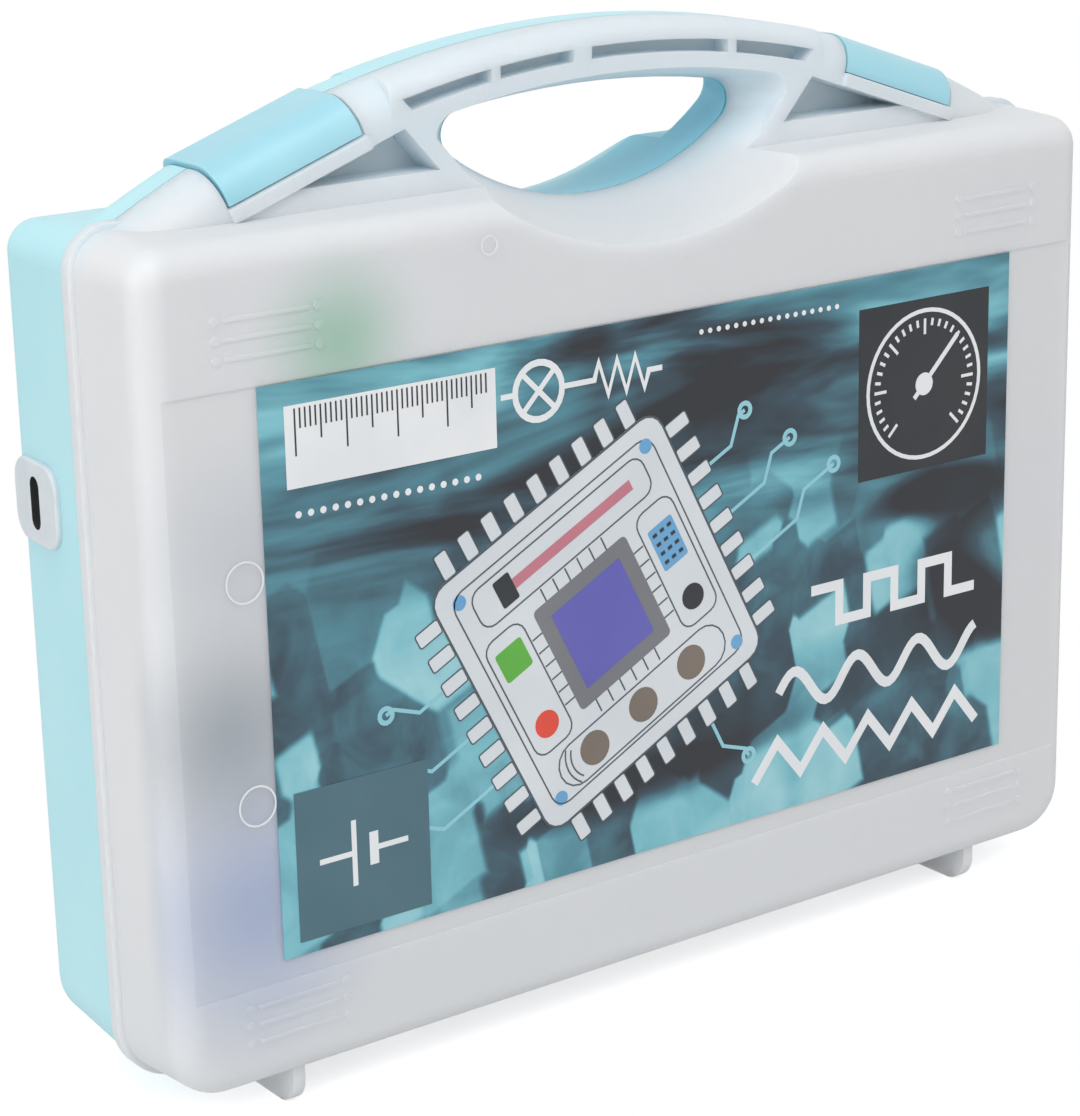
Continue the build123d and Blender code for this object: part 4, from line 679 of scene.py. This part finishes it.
gauge = (62.0, 27.5)
gauge_side = 33
needle_back, needle_tip = 2.5, 8.5
tick_end, tick_start, long_tick_start = 12.6, 11.2, 9.6
gauge_ticks = [
    (turn, long_tick_start if turn % 45 == 0 else tick_start) for turn in range(-45, 226, 9)
]
print_layer("label_gauge_plate", 1, dark_ink, [tile(gauge, gauge_side, gauge_side)])
print_layer("label_gauge", 2, white_ink, [
    ring(gauge, 14.2, 0.8, 48),
    drawn([
        (gauge[0] - needle_back, gauge[1] - needle_back),
        (gauge[0] + needle_tip, gauge[1] + needle_tip),
    ], 1.0),
    disc(gauge, 2.2),
] + [
    drawn(arc(gauge, start, turn, turn, 1)[:1] + arc(gauge, tick_end, turn, turn, 1)[:1], 0.6)
    for turn, start in gauge_ticks
])

ruler = (-58.0, 39.0)
ruler_width, ruler_height = 42, 14
ruler_ticks = [
    (step, 8.0 if step % 10 == 0 else 5.6 if step % 5 == 0 else 3.4) for step in range(39)
]
print_layer("label_ruler", 3, white_ink, [tile(ruler, ruler_width, ruler_height)])
print_layer("label_ruler_ticks", 4, dark_ink, [
    tile((ruler[0] - 19 + step, ruler[1] + ruler_height / 2 - length / 2 - 0.6), 0.32, length)
    for step, length in ruler_ticks
])
small_dots = [disc((-77 + 2.4 * step, 27.5), 0.62, 6) for step in range(16)]
small_dots += [disc((8 + 2.0 * step, 45.5), 0.5, 6) for step in range(17)]
print_layer("label_dots", 1, white_ink, small_dots)

lamp, zigzag = (-28.0, 40.5), (-10.0, 40.5)
lamp_radius = 5.0
cross = lamp_radius * math.sqrt(0.5)
symbol_line = 1.0
print_layer("label_symbols", 3, white_ink, [
    ring(lamp, lamp_radius, 1.2),
    drawn([(lamp[0] - cross, lamp[1] - cross), (lamp[0] + cross, lamp[1] + cross)], symbol_line),
    drawn([(lamp[0] - cross, lamp[1] + cross), (lamp[0] + cross, lamp[1] - cross)], symbol_line),
    drawn([(lamp[0] - 8, lamp[1]), (lamp[0] - lamp_radius, lamp[1])], symbol_line),
    drawn(
        [(lamp[0] + lamp_radius, lamp[1]), (zigzag[0] - 6, zigzag[1])]
        + [(zigzag[0] - 5 + 2 * step, zigzag[1] + (3 if step % 2 == 0 else -3)) for step in range(6)]
        + [(zigzag[0] + 6, zigzag[1]), (zigzag[0] + 9, zigzag[1])],
        symbol_line,
    ),
])
plate = (-67.0, -34.0)
plate_side = 27
lead_end, pole_gap = 9, 2
print_layer("label_plate", 3, teal_ink, [tile(plate, plate_side, plate_side)])
print_layer("label_plate_cell", 4, white_ink, [
    tile((plate[0] - pole_gap, plate[1]), 1.0, 12),
    tile((plate[0] + pole_gap, plate[1]), 1.8, 6),
    drawn([(plate[0] - lead_end, plate[1]), (plate[0] - pole_gap, plate[1])], symbol_line),
    drawn([(plate[0] + pole_gap, plate[1]), (plate[0] + lead_end, plate[1])], symbol_line),
])

# Port and its frosted insert
# The insert is pressed into the left wall round a steel socket with a black tongue.
# Its slot is so deep and narrow that it is dark inside, so the insert's walls in the slot are painted near black
# as painted shade.
grommet_plastic = moulding("grommet_frosted", tone(224, 231, 235), tone(215, 223, 229), 0.01, 0.4)
dress(milky(grommet_plastic, 0.3, 0.001, even_depths, 0.05), "usb_grommet")
port_low, port_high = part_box("usb_receptacle")
port_middle = (port_low + port_high) / 2
port_size = port_high - port_low
slot_half = port_size.y / 2 + 0.00017
slot_edge = 0.00004
slot_painted_shade = Paint(grommet_plastic)
tree = slot_painted_shade.tree
along_slot = slot_painted_shade.away(port_middle, (0.0, 0.0, 1.0))
past_end = reckon(tree, "SUBTRACT", along_slot, (port_size.z - port_size.y) / 2)
from_line = tree.nodes.new("ShaderNodeCombineXYZ")
tree.links.new(slot_painted_shade.away(port_middle, (0.0, 1.0, 0.0)), from_line.inputs["X"])
tree.links.new(reckon(tree, "MAXIMUM", past_end, 0.0), from_line.inputs["Y"])
in_slot = reckon(tree, "LENGTH", from_line.outputs["Vector"], vector=True)
# Painted shade: near black painted on the insert's walls inside the slot.
slot_painted_shade.lay(slot_painted_shade.fading(in_slot, slot_half, slot_half + slot_edge, 0.95), tone(22, 25, 28))


def metal(name, bright, dull, roughness):
    """Rolled or plated metal with faint streaks."""
    finish = moulding(name, bright, dull, 0.004, roughness)
    finish.node_tree.nodes["Principled BSDF"].inputs["Metallic"].default_value = 1.0
    return finish


dress(metal("plated_steel", tone(205, 207, 210), tone(176, 178, 182), 0.28), "usb_receptacle")
black_plastic = moulding("black_plastic", tone(40, 41, 43), tone(30, 31, 33), 0.004, 0.45, 0.3)
dress(
    black_plastic,
    "usb_tongue",
    "controller_chip",
    "controller_sockets",
    "reset_cap",
    "display_header",
    "sonic_header",
    "slide_cap",
    "button_housing",
    "infrared_receiver",
    "buzzer",
)

# Controller board
# Glass-fibre board with blue solder mask, screwed to posts in the base. Small chips,
# a crystal in its steel can and a row of resistors are soldered onto it.
dress(moulding("controller_blue", tone(28, 92, 150), tone(22, 78, 134), 0.006, 0.35), "controller_board")
steel = metal("steel_screw", tone(196, 198, 200), tone(150, 152, 156), 0.32)
dress(steel, "controller_screws", "reset_button", "servo_screws", "slide_lever", "terminal_screws")


def bevelled_parts(name, parts, edge, finish):
    """Small moulded parts with broken edges: middle in x and z, size in x and z, back and front."""
    shaped = bmesh.new()
    for (x, z), (width, height), back, front in parts:
        made = bmesh.ops.create_cube(shaped, size=1.0)["verts"]
        for corner in made:
            corner.co = (
                (x + corner.co.x * width) * mm,
                ((back + front) / 2 + corner.co.y * (back - front)) * mm,
                (z + corner.co.z * height) * mm,
            )
        rims = list({rim for corner in made for rim in corner.link_edges})
        bmesh.ops.bevel(shaped, geom=rims, offset=edge * mm, segments=1, affect="EDGES")
    mesh = bpy.data.meshes.new(name)
    shaped.to_mesh(mesh)
    shaped.free()
    mesh.materials.append(finish)
    piece = bpy.data.objects.new(name, mesh)
    scene.collection.objects.link(piece)
    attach(piece, "case")


board_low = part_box("controller_board")[0]
board_front = board_low.y / mm
board_left, board_bottom = board_low.x / mm, board_low.z / mm
bevelled_parts("controller_small_chips", [
    ((board_left + 17, board_bottom + 36), (7.0, 7.0), board_front, board_front - 1.0),
    ((board_left + 15, board_bottom + 15), (6.4, 3.6), board_front, board_front - 1.7),
    ((board_left + 60, board_bottom + 26), (5.0, 4.0), board_front, board_front - 1.2),
], 0.15, black_plastic)
bevelled_parts("controller_crystal", [
    ((board_left + 29, board_bottom + 30), (11.0, 4.4), board_front, board_front - 3.4),
], 0.6, steel)
pale_ceramic = moulding("resistor_ceramic", tone(206, 196, 176), tone(190, 180, 160), 0.001, 0.4)
bevelled_parts("controller_resistors", [
    ((board_left + 30 + 3.4 * step, board_bottom + 39), (1.9, 1.1), board_front, board_front - 0.55)
    for step in range(8)
], 0.12, pale_ceramic)

# Panel
# White printed board on a white mounting frame, held by four blue screws. The print
# round the modules is grey: boxes, sound waves, a lamp, a thermometer and a half dial.
dress(moulding("frame_white", tone(232, 234, 236), tone(224, 226, 229), 0.03, 0.5), "mounting_frame")
dress(moulding("white_board", tone(240, 241, 242), tone(232, 234, 236), 0.02, 0.4), "main_board")
dress(metal("blue_screw", tone(92, 160, 220), tone(70, 138, 200), 0.35), "panel_screws")
silk_line = 0.4
silk_layer = 0.04


def spot_of(node):
    """Middle of a node in x and z, in millimetres."""
    low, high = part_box(node)
    return ((low.x + high.x) / 2 / mm, (low.z + high.z) / 2 / mm)


def silk(*points):
    """Line of the print through these points."""
    return drawn(points, silk_line)


def boxed(node, margin, corner):
    """Line round a node at this margin."""
    low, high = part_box(node)
    size = (high - low) / mm
    return frame_line(spot_of(node), size.x + 2 * margin, size.z + 2 * margin, corner, silk_line)


def numeral(text, middle, height, line):
    """Plain round numerals for a dial."""
    shapes = []
    for index, sign in enumerate(text):
        x, z = middle[0] + (index - (len(text) - 1) / 2) * height * 0.8, middle[1]
        if sign == "0":
            turns = [math.radians(angle) for angle in range(0, 360, 30)]
            loop = [
                (x + 0.28 * height * math.cos(turn), z + 0.5 * height * math.sin(turn)) for turn in turns
            ]
            shapes.append(drawn(loop, line, closed=True))
        if sign == "1":
            flag = (x - 0.16 * height, z + 0.3 * height)
            shapes.append(drawn([flag, (x, z + height / 2), (x, z - height / 2)], line))
        if sign == "8":
            shapes.append(ring((x, z + 0.25 * height), 0.22 * height, line, 12))
            shapes.append(ring((x, z - 0.24 * height), 0.26 * height, line, 12))
        if sign == "9":
            stem = [(x + 0.26 * height, z + 0.2 * height), (x + 0.16 * height, z - height / 2)]
            shapes.append(ring((x, z + 0.22 * height), 0.26 * height, line, 12))
            shapes.append(drawn(stem, line))
    return shapes


sonic_left, sonic_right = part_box("sonic_cans")
sonic_height = spot_of("sonic_cans")[1]
can_inset = 8.0
waves = [
    drawn(arc(middle, reach, start, end, 8), silk_line)
    for middle, start, end, reaches in (
        ((sonic_right.x / mm - can_inset, sonic_height), -32, 32, (13.5, 15.2, 16.9)),
        ((sonic_left.x / mm + can_inset, sonic_height), 148, 212, (13.5, 15.2, 16.9)),
        (spot_of("sound_sensor"), -36, 36, (10.0, 12.0)),
    )
    for reach in reaches
]

lamp_x, lamp_z = spot_of("indicator_light")
neck, socket_end = 3, 14
lamp_print = [
    drawn(arc((lamp_x, lamp_z), 8.6, -250, 70, 28), silk_line),
    silk((lamp_x - neck, lamp_z + 8.1), (lamp_x - neck, lamp_z + socket_end)),
    silk((lamp_x + neck, lamp_z + 8.1), (lamp_x + neck, lamp_z + socket_end)),
    drawn(arc((lamp_x, lamp_z + socket_end), neck, 0, 180, 8), silk_line),
] + [
    silk((lamp_x - neck, lamp_z + rise), (lamp_x + neck, lamp_z + rise))
    for rise in (9.6, 11.8, socket_end)
]

warm_x, warm_z = spot_of("climate_sensor")
tube_half, tube_top, tube_end = 3, 10.6, 25
thermometer = [
    drawn(arc((warm_x, warm_z), 11.0, -74, 254, 30), silk_line),
    silk(
        (warm_x - tube_half, warm_z - tube_top),
        *arc((warm_x, warm_z - tube_end), tube_half, 180, 360, 10),
        (warm_x + tube_half, warm_z - tube_top),
    ),
] + [
    silk((warm_x - tube_half, warm_z - drop), (warm_x - 0.8, warm_z - drop))
    for drop in (13, 15.5, 18, 20.5, 23)
]

light_x, light_z = spot_of("light_sensor")
star_tips = [(math.radians(22.5 * step), 8.6 if step % 2 == 0 else 5.0) for step in range(16)]
star = [
    (light_x + reach * math.cos(turn), light_z + reach * math.sin(turn)) for turn, reach in star_tips
]

turning = next(joint for joint in frame["joints"] if joint["name"] == "servo_turn")["pos_m"]
dial = (turning[0] / mm, turning[2] / mm)
dial_radius = 15.6
dial_tick = 1.8
dial_print = [drawn(arc(dial, dial_radius, 180, 360, 36), silk_line)] + [
    silk(arc(dial, dial_radius - dial_tick, turn, turn, 1)[0], arc(dial, dial_radius, turn, turn, 1)[0])
    for turn in range(180, 361, 15)
]
for text, turn in (("0", 180), ("90", 270), ("180", 360)):
    middle = arc(dial, dial_radius + 2.6 + 0.5 * len(text), turn, turn, 1)[0]
    dial_print += numeral(text, middle, 2.2, 0.3)

slide_low, slide_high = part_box("slide_body")
scale_left, scale_foot = slide_low.x / mm + 7, slide_high.z / mm + 0.6
slide_scale = [
    silk(
        (scale_left + 3.5 * step, scale_foot),
        (scale_left + 3.5 * step, scale_foot + 0.3 + 0.4 * (step % 5 == 0)),
    )
    for step in range(11)
]

wiring_field = (-1.0, 110.0)
sound_x, sound_z = spot_of("sound_sensor")
hexagon = drawn(arc(spot_of("buzzer"), 10.4, 0, 360, 6)[:-1], silk_line, closed=True)
outlines = [
    boxed("main_board", -1.7, 5.5),
    boxed("display_board", 1.4, 2.5),
    boxed("relay_board", 1.8, 2.0),
    boxed("sonic_cans", 3.4, 11.0),
    boxed("motion_base", 3.4, 2.0),
    boxed("slide_body", 1.6, 1.5),
    boxed("button_housing", 2.2, 0.8),
    boxed("infrared_receiver", 3.6, 2.0),
    boxed("touch_pad", 2.4, 3.0),
    frame_line(wiring_field, 84.0, 51.0, 2.5, silk_line),
    drawn(star, silk_line, closed=True),
    hexagon,
    frame_line((sound_x, sound_z - 4), 14.6, 24, 7.2, silk_line),
]
silk_ink = ink("silk_grey", 96, 102, 110)
panel_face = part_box("main_board")[0].y / mm
laid_on(
    "panel_print",
    outlines + waves + lamp_print + thermometer + dial_print + slide_scale,
    panel_face - silk_layer,
    silk_layer,
    silk_ink,
    "case",
)

# Modules on the panel
# Bought modules in their usual colours, soldered or plugged onto the board. The
# display has a grid of sixteen by two cells on its glass.
dress(moulding("bezel_black", tone(46, 47, 50), tone(36, 37, 40), 0.01, 0.4), "display_bezel")
dress(moulding("display_blue", tone(72, 78, 178), tone(60, 66, 164), 0.02, 0.15), "display_glass")
cell_ink = moulding("display_cells", tone(92, 98, 198), tone(84, 90, 190), 0.01, 0.2)
cell_columns, cell_rows = 16, 2
cell_step = (3.55, 5.95)
cell_size = (2.95, 5.0)
cell_layer = 0.02
glass_x, glass_z = spot_of("display_glass")
glass_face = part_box("display_glass")[0].y / mm
cells = [
    tile((glass_x + (column - 7.5) * cell_step[0], glass_z + (row - 0.5) * cell_step[1]), *cell_size)
    for column in range(cell_columns) for row in range(cell_rows)
]
laid_on("display_cell_grid", cells, glass_face - cell_layer, cell_layer, cell_ink, "case")
dress(moulding("module_blue", tone(40, 92, 150), tone(32, 80, 136), 0.005, 0.35), "sonic_board")
dress(metal("can_metal", tone(190, 190, 190), tone(160, 160, 162), 0.3), "sonic_cans", "sound_sensor")


def woven_mesh():
    """Fine wire mesh over the sound openings."""
    finish = moulding("dark_mesh", tone(124, 114, 104), tone(96, 88, 80), 0.002, 0.5)
    tree = finish.node_tree
    place = tree.nodes.new("ShaderNodeTexCoord")
    holes = tree.nodes.new("ShaderNodeTexVoronoi")
    holes.inputs["Scale"].default_value = 1500.0
    holes.inputs["Randomness"].default_value = 0.0
    relief = tree.nodes.new("ShaderNodeBump")
    relief.inputs["Strength"].default_value = 0.8
    relief.inputs["Distance"].default_value = 0.0003
    tree.links.new(place.outputs["Object"], holes.inputs["Vector"])
    tree.links.new(holes.outputs["Distance"], relief.inputs["Height"])
    tree.links.new(relief.outputs["Normal"], tree.nodes["Principled BSDF"].inputs["Normal"])
    return finish


dress(woven_mesh(), "sonic_meshes")
dress(moulding("servo_blue", tone(78, 134, 196), tone(66, 120, 182), 0.01, 0.3), "servo_body")
white_plastic = moulding("white_plastic", tone(236, 236, 234), tone(226, 226, 224), 0.01, 0.4)
dress(white_plastic, "servo_horn", "motion_base")
dress(moulding("slide_grey", tone(150, 150, 154), tone(136, 136, 140), 0.01, 0.45), "slide_body")
dress(moulding("button_green", tone(92, 190, 80), tone(78, 176, 68), 0.01, 0.35), "button_cap")
dress(moulding("lamp_red", tone(214, 48, 40), tone(196, 36, 30), 0.01, 0.2), "indicator_light")
dress(moulding("dome_white", tone(240, 240, 236), tone(230, 230, 226), 0.01, 0.35), "motion_dome")
dress(moulding("relay_blue", tone(40, 120, 200), tone(32, 108, 186), 0.01, 0.35), "relay")
teal_board = moulding("module_teal", tone(30, 126, 130), tone(24, 112, 116), 0.005, 0.4)
dress(teal_board, "relay_board", "display_board")
dress(moulding("terminal_green", tone(58, 160, 84), tone(48, 146, 72), 0.01, 0.4), "relay_terminal")
dress(moulding("sensor_blue", tone(90, 170, 214), tone(78, 158, 204), 0.01, 0.4), "climate_sensor")
dress(metal("copper_pad", tone(222, 170, 110), tone(206, 150, 92), 0.35), "touch_pad")
dress(moulding("sensor_amber", tone(214, 150, 60), tone(190, 120, 40), 0.002, 0.3), "light_sensor")
connector_plastic = moulding("connector_white", tone(238, 236, 228), tone(228, 226, 218), 0.01, 0.4)
dress(connector_plastic, "module_connectors")

relay_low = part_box("relay_board")[0]
relay_face, relay_bottom = relay_low.y / mm, relay_low.z / mm
left_parts = relay_low.x / mm + 2.0
middle_parts = (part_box("relay")[1].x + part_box("relay_terminal")[0].x) / 2 / mm
bevelled_parts("relay_small_parts", [
    ((left_parts, relay_bottom + 3.4), (1.3, 2.8), relay_face, relay_face - 1.0),
    ((middle_parts, relay_bottom + 7.0), (2.9, 2.6), relay_face, relay_face - 1.1),
    ((middle_parts, relay_bottom + 17.0), (1.6, 3.0), relay_face, relay_face - 1.1),
], 0.15, black_plastic)
resistor_spots = [
    (middle_parts - 1.2 + 2.4 * (step % 2), relay_bottom + 11.0 + 2.2 * (step // 2)) for step in range(4)
]
bevelled_parts("relay_resistors", [
    (spot, (1.2, 0.8), relay_face, relay_face - 0.5) for spot in resistor_spots
], 0.1, pale_ceramic)
